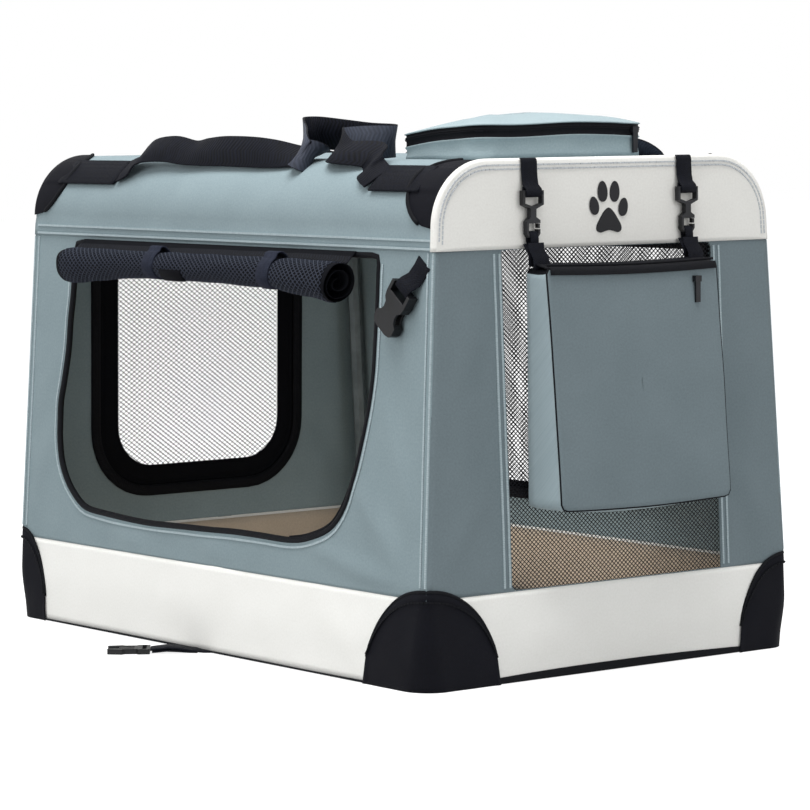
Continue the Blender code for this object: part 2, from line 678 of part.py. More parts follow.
def door_roll():
    """The near side's mesh door, rolled up and drawn in where its two ties hold it."""
    stations = [ROLL_FROM, ROLL_FROM + 0.004]
    for tie in TIE_PLACES:
        stations += [tie - 0.030, tie - TIE_WIDTH / 2, tie + TIE_WIDTH / 2, tie + 0.030]
    stations += [ROLL_TO - 0.004, ROLL_TO]
    out = ROLL_R + GAP
    centre = wall_frame("near", z=ROLL_HEIGHT, out=out).translation
    bm = bmesh.new()
    rings = []
    for y in stations:
        waist = any(abs(y - tie) < TIE_WIDTH / 2 + 0.001 for tie in TIE_PLACES)
        tip = y in (ROLL_FROM, ROLL_TO)
        radius = ROLL_WAIST_R if waist or tip else ROLL_R
        ring = bmesh.ops.create_circle(bm, cap_ends=False, segments=16, radius=radius)["verts"]
        bmesh.ops.rotate(bm, matrix=Matrix.Rotation(math.pi / 2, 3, "X"), cent=(0, 0, 0), verts=ring)
        bmesh.ops.translate(bm, vec=(centre.x, y, centre.z), verts=ring)
        rings.append([edge for edge in bm.edges if all(v in ring for v in edge.verts)])
    for first, second in zip(rings, rings[1:]):
        bmesh.ops.bridge_loops(bm, edges=first + second)
    bmesh.ops.holes_fill(bm, edges=rings[0] + rings[-1], sides=0)
    bmesh.ops.recalc_face_normals(bm, faces=bm.faces)
    roll = mesh_object("near_door_roll", bm)
    front, rear = ROLL_FROM + 0.006, ROLL_TO - 0.006
    notch, low, high = ROLL_HEIGHT + ROLL_R + 0.001, ROLL_HEIGHT - 0.002, SEAM_HEIGHT - 0.001
    sheet = [(front, high), (front, low)]
    for number, tie in enumerate(TIE_PLACES):
        half = TIE_WIDTH / 2 + 0.001
        top = notch + 0.0006 * number
        sheet += [(tie - half, low), (tie - half, top), (tie + half, top), (tie + half, low)]
    sheet += [(rear, low), (rear, high)]
    mark_cutter(as_mesh(wall_panel("near door tail", "near", [sheet], 0.0012, out=2 * GAP + 0.0012)), roll, "UNION")
    finish(smooth(roll), BLACK, 0.8)

    for name, tie in zip(("roll_tie_front", "roll_tie_rear"), TIE_PLACES):
        band = bmesh.new()
        bmesh.ops.create_cone(band, cap_ends=False, segments=16, radius1=ROLL_WAIST_R + GAP,
                              radius2=ROLL_WAIST_R + GAP, depth=TIE_WIDTH - 2 * GAP)
        bmesh.ops.rotate(band, matrix=Matrix.Rotation(math.pi / 2, 3, "X"), cent=(0, 0, 0), verts=band.verts)
        bmesh.ops.translate(band, vec=(centre.x, tie, centre.z), verts=band.verts)
        finish(solidify(mesh_object(name, band), WEBBING, outward=True), BLACK)


def side_strap(side, strap_name, buckle_name):
    """The webbing sewn in a front corner edge, looped round the bar of a female side-release buckle."""
    hub_y, hub_z = BUCKLE_HUB
    frame = wall_frame(side, across=hub_y, z=hub_z, out=BUCKLE_OUT)
    frame = frame @ Matrix.Rotation(ALONG[side] * BUCKLE_LEAN, 4, "Z")

    edge = ((-0.0265, 0.0330), (-0.0285, 0.0025), (-0.0142, 0.0003), (0.0036, 0.0133), (0.0036, 0.0178))
    sewn = [(hub_y + along, hub_z + up) for along, up in edge]
    strap = as_mesh(wall_panel(strap_name, side, [sewn], 0.0022, out=GAP + 0.0022))
    sunk = GAP + 0.0011 - BUCKLE_OUT
    loop = flat_outline(f"{strap_name} loop", loop_profile(0, 0, True, sunk, 0.016), SIDE_LOOP_WIDTH)
    loop.matrix_world = frame @ Matrix(((0, 0, -1, 0), (0, 1, 0, 0), (1, 0, 0, 0), (0, 0, 0, 1)))
    mark_cutter(as_mesh(loop), strap, "UNION")
    finish(strap, BLACK)

    half = [(0.0165, 0.0020), (0.0165, -0.0120), (0.0150, -0.0180), (0.0112, -0.0215), (0.0105, -0.0270),
            (0.0125, -0.0320), (0.0172, -0.0350), (0.0172, -0.0425), (0.0140, -0.0470), (0.0080, -0.0485)]
    outline = half + [(-x, y) for x, y in reversed(half)]
    obj = flat_outline(buckle_name, [outline], BUCKLE_DEPTH)
    obj.matrix_world = frame
    obj = as_mesh(obj)
    bar_deep, bar_thick = BUCKLE_BAR
    gap = SIDE_LOOP_WIDTH + 0.003
    cut_box(obj, f"{buckle_name} webbing slot", (gap, 0.0065, 0.040), (0, -bar_deep / 2 - 0.00325, 0))
    for sign in (-1, 1):
        cut_box(obj, f"{buckle_name} bar side {sign}", (gap, 0.012, 0.010),
                (0, -bar_deep / 2 + 0.0055, sign * (bar_thick / 2 + 0.005)))
    cut_box(obj, f"{buckle_name} mouth", (0.026, 0.036, 0.0060), (0, -0.0340, 0))
    finish(bevel(obj, 0.0008), BLACK, 0.4)


def base_strap():
    """The strap sewn under the near edge of the base, with its male buckle lying on the floor."""
    root_x = -half_width(0) - GAP
    toward = Vector((-math.cos(BASE_STRAP_TURN), math.sin(BASE_STRAP_TURN)))
    side = Vector((-toward.y, toward.x))
    half = BASE_STRAP_WIDTH / 2
    start = Vector((root_x, BASE_STRAP_Y))
    slant = half * side.x / -toward.x
    corners = [start + side * half + toward * slant, start + side * half + toward * BASE_STRAP_LENGTH,
               start - side * half + toward * BASE_STRAP_LENGTH, start - side * half - toward * slant]
    strap = flat_outline("base_strap", [[tuple(c) for c in corners]], WEBBING)
    strap.location = (0, 0, 0.0005 + WEBBING / 2)
    finish(strap, BLACK)

    base, guide, reach, prong = 0.0155, 0.020, 0.044, 0.0125
    outline = [(-base, 0.0), (base, 0.0), (base, 0.012), (prong, 0.014), (prong, 0.026), (base, 0.029),
               (prong, reach), (prong - 0.0035, reach), (prong - 0.0045, 0.030), (prong - 0.0045, 0.016),
               (0.0030, 0.016), (0.0030, guide + 0.012), (-0.0030, guide + 0.012), (-0.0030, 0.016),
               (-prong + 0.0045, 0.016), (-prong + 0.0045, 0.030), (-prong + 0.0035, reach), (-prong, reach),
               (-base, 0.029), (-prong, 0.026), (-prong, 0.014), (-base, 0.012)]
    slot = [(-0.0130, 0.0035), (-0.0130, 0.0080), (0.0130, 0.0080), (0.0130, 0.0035)]
    male = flat_outline("male_buckle", [outline, slot], 0.0055)
    place = start + toward * (BASE_STRAP_LENGTH + GAP)
    spin = Matrix(((side.x, toward.x, 0), (side.y, toward.y, 0), (0, 0, 1))).to_4x4()
    if spin.determinant() < 0:
        spin = Matrix(((-side.x, toward.x, 0), (-side.y, toward.y, 0), (0, 0, 1))).to_4x4()
    spin.translation = (place.x, place.y, 0.0005 + 0.0055 / 2)
    male.matrix_world = spin
    finish(male, BLACK, 0.4)


def carry_handle(name, sx):
    """A webbing handle that leaves the roof's edge, humps over the roof and comes back."""
    bend_z = SHELL_HEIGHT - TOP_ROUND
    bend_x = half_width(bend_z) - TOP_ROUND
    middle = math.radians((HANDLE_ARC_LOW + HANDLE_ARC_HIGH) / 2)
    edge_out = TOP_ROUND + 2 * GAP
    edge = Vector((bend_x + edge_out * math.cos(middle), 0, bend_z + edge_out * math.sin(middle)))
    end = half_length(edge.z)
    rear, front = end - HANDLE_REAR_END - GAP, -(end - HANDLE_FRONT_END - GAP)
    stations = [
        (rear, 0.0000, 0.0000, 43),
        (rear - 0.018, -0.0025, 0.0072, 43),
        (rear - 0.032, -0.0050, 0.0185, 44),
        (rear - 0.048, -0.0070, 0.0245, 48),
        (rear - 0.078, -0.0100, 0.0260, 52),
        (rear - 0.108, -0.0120, 0.0225, 46),
        (rear - 0.135, -0.0115, 0.0235, 57),
        (rear - 0.170, -0.0110, 0.0245, 66),
        (rear - 0.215, -0.0115, 0.0240, 66),
        (rear - 0.248, -0.0140, 0.0225, 56),
        (rear - 0.280, -0.0200, 0.0200, 38),
        (rear - 0.312, -0.0270, 0.0190, 24),
        (rear - 0.345, -0.0350, 0.0200, 14),
        (front + 0.078, -0.0380, 0.0225, 14),
        (front + 0.055, -0.0330, 0.0250, 28),
        (front + 0.036, -0.0220, 0.0215, 48),
        (front + 0.018, -0.0050, 0.0085, 46),
        (front, 0.0000, 0.0000, 43),
    ]
    bm = bmesh.new()
    rows = []
    for y, inward, lift, slope in stations:
        centre = edge + Vector((inward, y, lift))
        slope = math.radians(slope)
        lean = Vector((-math.cos(slope), 0, math.sin(slope))) * HANDLE_WIDTH / 2
        pair = [centre - lean, centre + lean]
        rows.append([bm.verts.new((sx * p.x, p.y, p.z)) for p in pair])
    faces = [bm.faces.new((a[0], a[1], b[1], b[0])) for a, b in zip(rows, rows[1:])]
    bmesh.ops.recalc_face_normals(bm, faces=faces)
    if faces[0].normal.x * sx < 0:
        bmesh.ops.reverse_faces(bm, faces=faces)
    finish(solidify(mesh_object(name, bm), WEBBING, outward=True), BLACK, 0.9)


def pocket():
    """The zipped pocket on the roof: a soft box with drawn-in sides and a crowned lid."""
    low = SHELL_HEIGHT + GAP
    middle_y = (POCKET_FRONT + POCKET_BACK) / 2
    half_y = (POCKET_BACK - POCKET_FRONT) / 2
    bm = bmesh.new()
    bmesh.ops.create_cube(bm, size=2.0)
    bmesh.ops.subdivide_edges(bm, edges=list(bm.edges), cuts=5, use_grid_fill=True)
    for vert in bm.verts:
        x, y, z = vert.co
        up = (z + 1) / 2
        draw = 1 - 0.05 * up ** 2
        crown = 0.15 * (1 - x ** 4) * (1 - y ** 4)
        vert.co = (POCKET_HALF_WIDTH * x * draw, middle_y + half_y * y * draw,
                   low + POCKET_HEIGHT * up * (0.85 + crown))
    finish(bevel(mesh_object("top_pocket", bm), 0.006, 2), GREY)
    zip_z = low + POCKET_HEIGHT * 0.62
    drawn_in = 1 - 0.05 * ((zip_z - low - 0.003) / POCKET_HEIGHT / 0.85) ** 2
    slider("pocket_zip_slider", (POCKET_HALF_WIDTH - 0.018, middle_y - half_y * drawn_in - GAP, zip_z))


def slider(name, place):
    """A zipper slider with its pull hanging down, in front of the zip."""
    x, back, z = place
    body = mesh_object(name, box_mesh((0.008, 0.005, 0.006), (x, back - 0.0025, z)))
    pull = mesh_object(f"{name} pull", box_mesh((0.006, 0.002, 0.022), (x, back - 0.0035, z - 0.0125)))
    mark_cutter(pull, body, "UNION")
    finish(body, BLACK, 0.4)


def loop_profile(centre_y, centre_z, front_side, end_y, end_z):
    """A webbing folded round a bar: a ring with a plate that runs up or down from it, as (y, z)."""
    toward = 1 if end_z > centre_z else -1
    half = WEBBING / 2
    offset = LOOP_OUT_R - half - 0.0001
    if front_side:
        offset = -offset
    lean_low = math.degrees(math.acos((offset - half) / LOOP_OUT_R))
    lean_high = math.degrees(math.acos((offset + half) / LOOP_OUT_R))
    ring = arc((centre_y, centre_z), LOOP_OUT_R, toward * lean_low, toward * (360 + lean_high), 14)
    plate = [(end_y + half, end_z), (end_y - half, end_z)]
    bore = arc((centre_y, centre_z), LOOP_BORE_R, 0, 330, 11)
    return [ring + plate, bore]


def loop_webbing(name, x, width, profile):
    """Extrude a webbing loop across its width."""
    obj = flat_outline(name, profile, width)
    obj.matrix_world = Matrix(((0, 0, 1, x), (1, 0, 0, 0), (0, 1, 0, 0), (0, 0, 0, 1)))
    return obj


def hook_plane():
    """The y of the snap hooks' middle, in front of the front yoke."""
    return -half_length(HOOK_BAR_Z) - 2 * GAP - LOOP_OUT_R


def hook_strap(name, x):
    """A short strap that hangs from the roof's front edge, folded round the hook's eye."""
    end_y = -half_length(STRAP_TOP) - GAP - WEBBING / 2
    profile = loop_profile(hook_plane(), EYE_BAR_Z, False, end_y, STRAP_TOP)
    finish(loop_webbing(name, x, STRAP_WIDTH, profile), BLACK, 0.9)


def snap_hook(hook_name, gate_name, x):
    """A moulded swivel snap hook: eye, neck and hook, with a sprung gate across its mouth."""
    eye_out, eye_in = 0.0130, 0.0105
    bar = BAR_THICK / 2
    top, low = EYE_BAR_Z + bar, HOOK_BAR_Z - bar
    neck_top, neck_low = EYE_BAR_Z - 0.016, EYE_BAR_Z - 0.024
    outline = [(-eye_out, top), (-eye_out, neck_top + 0.004), (-0.0035, neck_top), (-0.0035, neck_low),
               (-0.0085, neck_low - 0.004), (-0.0085, low + 0.004), (-0.0055, low), (0.0055, low),
               (0.0085, low + 0.004), (0.0085, HOOK_BAR_Z + 0.0062), (0.0060, HOOK_BAR_Z + 0.0062),
               (0.0060, HOOK_BAR_Z + bar), (-0.0060, HOOK_BAR_Z + bar), (-0.0060, neck_low - 0.006),
               (0.0085, neck_low - 0.006), (0.0085, neck_low - 0.003), (0.0035, neck_low),
               (0.0035, neck_top), (eye_out, neck_top + 0.004), (eye_out, top)]
    eye = [(-eye_in, EYE_BAR_Z - bar), (eye_in, EYE_BAR_Z - bar), (eye_in, neck_top + 0.0055),
           (0.0030, neck_top + 0.0030), (-0.0030, neck_top + 0.0030), (-eye_in, neck_top + 0.0055)]
    upright = Matrix(((1, 0, 0, x), (0, 0, -1, hook_plane()), (0, 1, 0, 0), (0, 0, 0, 1)))
    hook = flat_outline(hook_name, [outline, eye], HOOK_THICK)
    hook.matrix_world = upright
    finish(hook, BLACK, 0.35)
    gate_low, gate_high = HOOK_BAR_Z + 0.0071, neck_low - 0.0063
    gate = [(0.0060, gate_low), (0.0085, gate_low), (0.0085, gate_high), (0.0060, gate_high)]
    lever = flat_outline(gate_name, [gate], HOOK_THICK - 0.0015)
    lever.matrix_world = upright
    finish(lever, BLACK, 0.35)


def hanging_bag():
    """The zipped bag that hangs in front of the window, with a webbing tab on each hook."""
    back = -half_length(BAG_BOTTOM) - 0.0012
    middle_y = back - BAG_DEPTH / 2
    bm = bmesh.new()
    bmesh.ops.create_cube(bm, size=2.0)
    bmesh.ops.subdivide_edges(bm, edges=list(bm.edges), cuts=4, use_grid_fill=True)
    for vert in bm.verts:
        x, y, z = vert.co
        front = BAG_DEPTH / 2 * (1 - 0.16 * max(0.0, z)) + BAG_BOTTOM_SWELL * (1 - z) / 2
        depth = front if y < 0 else BAG_DEPTH / 2
        vert.co = (BAG_WIDTH / 2 * x, middle_y + depth * y,
                   (BAG_TOP + BAG_BOTTOM) / 2 + (BAG_TOP - BAG_BOTTOM) / 2 * z)
    bag = bevel(mesh_object("hanging_bag", bm), 0.005, 2)
    end_y = hook_plane() - LOOP_OUT_R + WEBBING / 2 - 0.002
    for x in (-HOOK_X, HOOK_X):
        tab = as_mesh(loop_webbing("bag tab", x, TAB_WIDTH,
                                   loop_profile(hook_plane(), HOOK_BAR_Z, True, end_y, BAG_TOP - 0.010)))
        mark_cutter(tab, bag, "UNION")
    finish(bag, GREY)
    slider_share = 1 - 2 * 0.019 / BAG_HEIGHT
    face = (middle_y - BAG_DEPTH / 2 * (1 - 0.16 * slider_share)
            - BAG_BOTTOM_SWELL * (1 - slider_share) / 2)
    slider("bag_zip_slider", (BAG_WIDTH / 2 - 0.030, face - GAP, BAG_TOP - 0.016))


# The base and its hinges
bottom_tray()
finish(ring_wall("white_band", TRAY_HEIGHT + GAP, BAND_TOP), WHITE)
base_loop = frame_loop()
floor_pieces(base_loop)
for side_name, sx in (("near", -1), ("far", 1)):
    for end_name, sy in (("front", -1), ("rear", 1)):
        corner_patch(f"bottom_patch_{end_name}_{side_name}", sx, sy)
        reach = HANDLE_FRONT_END if sy < 0 else HANDLE_REAR_END
        top_patch(f"top_patch_{end_name}_{side_name}", sx, sy, reach)
        leg = REAR_LEG_FOOT - (NEST if sy < 0 else 0.0)
        hinge_bracket(f"hinge_bracket_{end_name}_{side_name}", f"hinge_pin_{end_name}_{side_name}",
                      sx, sy, leg, base_loop)

# The hoops, the roof rails and the clips between them
hoop("rear_hoop", 1, 0.0)
hoop("front_hoop", -1, NEST)
for side_name, sx in (("near", -1), ("far", 1)):
    rear_clip(f"rear_clip_{side_name}", sx)
    front_clip(f"front_clip_{side_name}", sx)
    rail = rod_mesh(RAIL_R, 2 * RAIL_HALF_LENGTH, (sx * RAIL_X, 0, rail_height()), "Y")
    finish(smooth(mesh_object(f"roof_rail_{side_name}", rail)), STEEL, 0.35, 0.9)

# The long walls, each with its doorway
wall_low, wall_high = BAND_TOP + GAP, SEAM_HEIGHT - GAP
side_edge = [(-half_length(wall_low), wall_low), (half_length(wall_low), wall_low),
             (half_length(wall_high), wall_high), (-half_length(wall_high), wall_high)]
for side_name, high_round in (("near", DOOR_HIGH_ROUND), ("far", ZIP_CORNER)):
    doorway = opening(DOOR_HALF, DOOR_SHIFT, DOOR_SILL, DOOR_HEAD, DOOR_LOW_ROUND, high_round)
    finish(wall_panel(f"wall_{side_name}", side_name, [side_edge, doorway]), GREY)
mesh_door("far_door", "far", DOOR_HALF, DOOR_SHIFT, SIDE_DOOR_CELLS, DOOR_LOW_ROUND)

# The end walls, which close the rounded roof
inset = CLOTH + GAP
front_edge = [(-half_width(wall_low) + inset, wall_low), (half_width(wall_low) - inset, wall_low),
              (half_width(wall_high) - inset, wall_high), (-half_width(wall_high) + inset, wall_high)]
window = opening(FRONT_WINDOW_HALF, 0, wall_low + WINDOW_HEM, wall_high - WINDOW_HEM, 0.006, 0.006)
finish(wall_panel("wall_front", "front", [front_edge, window]), GREY)
front_net()
finish(wall_panel("front_yoke", "front", [end_outline(SEAM_HEIGHT)]), WHITE)
rear_doorway = opening(REAR_DOOR_HALF, 0, DOOR_SILL, DOOR_HEAD, REAR_DOOR_ROUND, ZIP_CORNER)
finish(wall_panel("wall_rear", "rear", [end_outline(wall_low), rear_doorway]), GREY)
mesh_door("rear_door", "rear", REAR_DOOR_HALF, 0, REAR_DOOR_CELLS, REAR_DOOR_ROUND)

# The roof and what is sewn to it
roof_cloth()
carry_handle("handle_near", -1)
carry_handle("handle_far", 1)
pocket()
door_roll()
side_strap("near", "side_strap_near", "side_buckle_near")
side_strap("far", "side_strap_far", "side_buckle_far")
base_strap()

# The bag on its hooks
for side_name, place in (("near", -HOOK_X), ("far", HOOK_X)):
    hook_strap(f"hook_strap_{side_name}", place)
    snap_hook(f"snap_hook_{side_name}", f"hook_gate_{side_name}", place)
hanging_bag()
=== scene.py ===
"""Soft-sided folding pet carrier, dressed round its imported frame."""
import math
import bmesh
import bpy
from mathutils import Matrix, Vector, noise


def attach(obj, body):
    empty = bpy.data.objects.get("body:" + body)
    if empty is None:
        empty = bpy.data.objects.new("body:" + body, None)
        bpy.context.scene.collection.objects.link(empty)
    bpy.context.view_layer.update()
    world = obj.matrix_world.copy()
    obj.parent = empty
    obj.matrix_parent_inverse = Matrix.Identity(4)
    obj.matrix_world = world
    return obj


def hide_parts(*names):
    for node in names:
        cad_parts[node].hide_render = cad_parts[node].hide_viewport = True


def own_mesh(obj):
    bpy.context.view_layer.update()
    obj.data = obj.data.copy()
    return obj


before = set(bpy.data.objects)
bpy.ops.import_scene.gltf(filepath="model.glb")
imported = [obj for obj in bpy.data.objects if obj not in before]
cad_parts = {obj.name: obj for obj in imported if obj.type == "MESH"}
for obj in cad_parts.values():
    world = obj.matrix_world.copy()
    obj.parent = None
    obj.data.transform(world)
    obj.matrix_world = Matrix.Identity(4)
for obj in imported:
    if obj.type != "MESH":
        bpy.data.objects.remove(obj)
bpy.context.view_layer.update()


# ---------------------------------------------------------------- the studio
# A white sweep of paper under soft light: a large lamp overhead, weaker ones at the left and in
# front, and a faint one over the pad for what comes in through the nets. A long lens stands at
# the photograph's place.
EYE = Vector((-2.3855, -3.0625, 0.5675))
LOOK_AT = Vector((0.01361, -0.01070, 0.24351))
LENS = 161.29
CAMERA_ROLL = math.radians(-0.416)
PAPER_GREY, PAPER_GLOW = 0.40, 0.84
forward = (LOOK_AT - EYE).normalized()
right = forward.cross(Vector((0, 0, 1))).normalized()
upward = right.cross(forward)
cam_right = right * math.cos(CAMERA_ROLL) + upward * math.sin(CAMERA_ROLL)
cam_up = upward * math.cos(CAMERA_ROLL) - right * math.sin(CAMERA_ROLL)
camera_data = bpy.data.cameras.new("camera")
camera_data.sensor_width = 36.0
camera_data.lens = LENS
camera_data.clip_end = 60.0
camera = bpy.data.objects.new("camera", camera_data)
camera.matrix_world = Matrix.Translation(EYE) @ Matrix(
    (cam_right, cam_up, -forward)).transposed().to_4x4()
bpy.context.scene.collection.objects.link(camera)
bpy.context.scene.camera = camera
bpy.context.scene.view_settings.view_transform = "Standard"


def add(tree, kind, inputs=None, **settings):
    """Add a shader node, set its options, and feed its inputs from values or other sockets."""
    node = tree.nodes.new("ShaderNode" + kind)
    for key, value in settings.items():
        setattr(node, key, value)
    for place, value in (inputs or {}).items():
        if isinstance(value, bpy.types.NodeSocket):
            tree.links.new(value, node.inputs[place])
        else:
            node.inputs[place].default_value = value
    return node


def seen_directly(tree):
    """1 for what the camera, a reflection or glass sees, 0 for what only lights the object."""
    path = add(tree, "LightPath")
    glossy = add(tree, "Math", {0: path.outputs["Is Camera Ray"], 1: path.outputs["Is Glossy Ray"]},
                 operation="MAXIMUM")
    return add(tree, "Math", {0: glossy.outputs[0], 1: path.outputs["Is Transmission Ray"]},
               operation="MAXIMUM").outputs[0]


def new_finish(name):
    """A material with its nodes: the material, its tree and its shader."""
    mat = bpy.data.materials.new(name)
    mat.use_nodes = True
    return mat, mat.node_tree, mat.node_tree.nodes["Principled BSDF"]


world = bpy.data.worlds.new("paper sweep")
world.use_nodes = True
bpy.context.scene.world = world
sky = world.node_tree
backdrop = add(sky, "Background", {"Color": (1, 1, 1, 1), "Strength": 1.0})
ambient = add(sky, "Background", {"Color": (0.95, 0.98, 1, 1), "Strength": 0.42})
mixed = add(sky, "MixShader", {0: seen_directly(sky), 1: ambient.outputs[0], 2: backdrop.outputs[0]})
sky.links.new(mixed.outputs[0], sky.nodes["World Output"].inputs["Surface"])


def lamp(name, place, aim, size, power):
    """A soft square lamp aimed at a point."""
    data = bpy.data.lights.new(name, "AREA")
    data.size = size
    data.energy = power
    obj = bpy.data.objects.new(name, data)
    turn = (Vector(place) - Vector(aim)).to_track_quat("Z", "Y").to_matrix().to_4x4()
    obj.matrix_world = Matrix.Translation(Vector(place)) @ turn
    bpy.context.scene.collection.objects.link(obj)


lamp("overhead", (-0.55, -0.35, 3.3), (0, 0, 0.3), 2.4, 128)
lamp("window left", (-3.3, -0.2, 1.35), (0, 0, 0.2), 2.2, 42)
lamp("front fill", (0.9, -4.2, 1.5), (0, 0, 0.2), 2.2, 46)
lamp("inside", (0.02, 0.0, 0.13), (0.02, 0.0, 0), 0.36, 0.42)

bm = bmesh.new()
bmesh.ops.create_grid(bm, x_segments=1, y_segments=1, size=12.0)
floor_mesh = bpy.data.meshes.new("paper floor")
bm.to_mesh(floor_mesh)
bm.free()
paper_floor = bpy.data.objects.new("paper_floor", floor_mesh)
bpy.context.scene.collection.objects.link(paper_floor)
paper, tree, shader = new_finish("paper")
for socket, value in (("Base Color", (PAPER_GREY, PAPER_GREY, PAPER_GREY, 1)), ("Roughness", 0.9),
                      ("Specular IOR Level", 0.1), ("Emission Color", (1, 1, 1, 1))):
    shader.inputs[socket].default_value = value
glow = add(tree, "Math", {0: seen_directly(tree), 1: PAPER_GLOW}, operation="MULTIPLY")
tree.links.new(glow.outputs[0], shader.inputs["Emission Strength"])
floor_mesh.materials.append(paper)


# ---------------------------------------------------------------- base cloth and its binding
# The underside is black woven polyester, sewn as a tray that holds the frame's floor loop. Its
# edge is a binding, turned up round the loop over the foot of the white band.
BASE_HALF = (0.243, 0.363)
SIDE_LEAN, END_LEAN = 0.0568627, 0.0215686      # how far the walls lean in for each metre up
CORNER_ROUND = 0.028
TRAY = (0.474, 0.714)
TRAY_STRAIGHT = (0.209, 0.329)                  # where its round corners begin
TRAY_LIFT = 0.0012


def linear(red, green, blue):
    """A colour as seen on a screen, 0 to 255, as the shader wants it."""
    return tuple((c / 255 / 12.92) if c <= 10 else ((c / 255 + 0.055) / 1.055) ** 2.4
                 for c in (red, green, blue))


def half_width(z):
    """Half of the shell's width at a height."""
    return BASE_HALF[0] - SIDE_LEAN * z


def half_length(z):
    """Half of the shell's length at a height."""
    return BASE_HALF[1] - END_LEAN * z


def wall_out(side):
    """Which way a leaning wall faces."""
    x, y = {"near": (-1, 0), "far": (1, 0), "front": (0, -1), "rear": (0, 1)}[side]
    return Vector((x, y, SIDE_LEAN if x else END_LEAN)).normalized()


def on_wall(side, along, z, out=0.0):
    """A place on a leaning wall: along it, at a height, and out of its face."""
    x, y = {"near": (-half_width(z), along), "far": (half_width(z), along),
            "front": (along, -half_length(z)), "rear": (along, half_length(z))}[side]
    return Vector((x, y, z)) + wall_out(side) * out


def on_circle(x, y, radius, degrees):
    """A flat place on a circle round x and y."""
    turn = math.radians(degrees)
    return Vector((x + radius * math.cos(turn), y + radius * math.sin(turn)))


def surface_group(name, **inputs):
    """A shader node group that turns a place on a surface into a height and a shade."""
    tree = bpy.data.node_groups.new(name, "ShaderNodeTree")
    tree.interface.new_socket("Place", in_out="INPUT", socket_type="NodeSocketVector")
    for label, value in inputs.items():
        tree.interface.new_socket(label, in_out="INPUT", socket_type="NodeSocketFloat").default_value = value
    for label in ("Height", "Shade"):
        tree.interface.new_socket(label, in_out="OUTPUT", socket_type="NodeSocketFloat")
    return tree, tree.nodes.new("NodeGroupInput").outputs, tree.nodes.new("NodeGroupOutput").inputs


def maths(tree, operation, first, second=0.0, third=0.0):
    """A Math node's result."""
    return add(tree, "Math", {0: first, 1: second, 2: third}, operation=operation).outputs[0]


def speckle(tree, place, scale, detail):
    """Fine or broad mottling of a surface."""
    return add(tree, "TexNoise", {"Vector": place, "Scale": scale, "Detail": detail}).outputs[0]


def mingle(tree, first, much, second, little):
    """Two patterns laid over each other in parts."""
    return maths(tree, "MULTIPLY_ADD", first, much, maths(tree, "MULTIPLY", second, little))


def laid_on(tree, group, place, *values):
    """A surface group's outputs in a material, at a place on the piece and with its own values."""
    node = tree.nodes.new("ShaderNodeGroup")
    node.node_tree = group
    tree.links.new(place, node.inputs["Place"])
    for socket, value in zip(list(node.inputs)[1:], values):
        socket.default_value = value
    return node.outputs


# Plain weave: threads over and under, with the speckle and clouding of dyed yarn
PLAIN_WEAVE, given, made = surface_group("plain weave", Threads=800.0)
fine = add(PLAIN_WEAVE, "VectorMath", {0: given["Place"], "Scale": given["Threads"]}, operation="SCALE")
split = add(PLAIN_WEAVE, "SeparateXYZ", {0: fine.outputs[0]})
waves = [maths(PLAIN_WEAVE, "SINE", maths(PLAIN_WEAVE, "MULTIPLY", split.outputs[k], math.tau))
         for k in (0, 1)]
over = maths(PLAIN_WEAVE, "MULTIPLY", waves[0], waves[1])
yarn = mingle(PLAIN_WEAVE, speckle(PLAIN_WEAVE, given["Place"], 420.0, 2.0), 0.55,
              speckle(PLAIN_WEAVE, given["Place"], 14.0, 4.0), 0.45)
PLAIN_WEAVE.links.new(maths(PLAIN_WEAVE, "MULTIPLY_ADD", over, 0.5, 0.5), made["Height"])
PLAIN_WEAVE.links.new(maths(PLAIN_WEAVE, "MULTIPLY_ADD", over, 0.06, yarn), made["Shade"])

# Ribbed webbing: fine herringbone ribs that run across the band
WEBBING_RIBS, given, made = surface_group("webbing ribs", Ribs=620.0)
split = add(WEBBING_RIBS, "SeparateXYZ", {0: given["Place"]})
zigzag = maths(WEBBING_RIBS, "PINGPONG", split.outputs[1], 0.003)
slant = maths(WEBBING_RIBS, "ADD", split.outputs[0], zigzag)
rib = maths(WEBBING_RIBS, "SINE", maths(WEBBING_RIBS, "MULTIPLY", slant,
                                        maths(WEBBING_RIBS, "MULTIPLY", given["Ribs"], math.tau)))
height = maths(WEBBING_RIBS, "MULTIPLY_ADD", rib, 0.5, 0.5)
WEBBING_RIBS.links.new(height, made["Height"])
WEBBING_RIBS.links.new(mingle(WEBBING_RIBS, height, 0.35,
                              speckle(WEBBING_RIBS, given["Place"], 260.0, 3.0), 0.6), made["Shade"])


def two_shades(tree, shader, shade, dark, light, low, high):
    """Colour a surface from dark to light; low and high are where the two shades begin."""
    ramp = add(tree, "ValToRGB", {0: shade})
    for element, colour, stop in zip(ramp.color_ramp.elements, (dark, light), (low, high)):
        element.color = (*colour, 1.0)
        element.position = stop
    tree.links.new(ramp.outputs[0], shader.inputs["Base Color"])
    return ramp.outputs[0]


def stand_up(tree, shader, height, strength, distance):
    """Let threads or grain stand up from a surface."""
    bump = add(tree, "Bump", {"Strength": strength, "Distance": distance, "Height": height})
    tree.links.new(bump.outputs[0], shader.inputs["Normal"])


def roughen(tree, shader, shade, smooth, rough):
    """Let the roughness vary with a shade."""
    spread = add(tree, "MapRange", {0: shade, 1: 0.3, 2: 0.7, 3: smooth, 4: rough})
    tree.links.new(spread.outputs[0], shader.inputs["Roughness"])


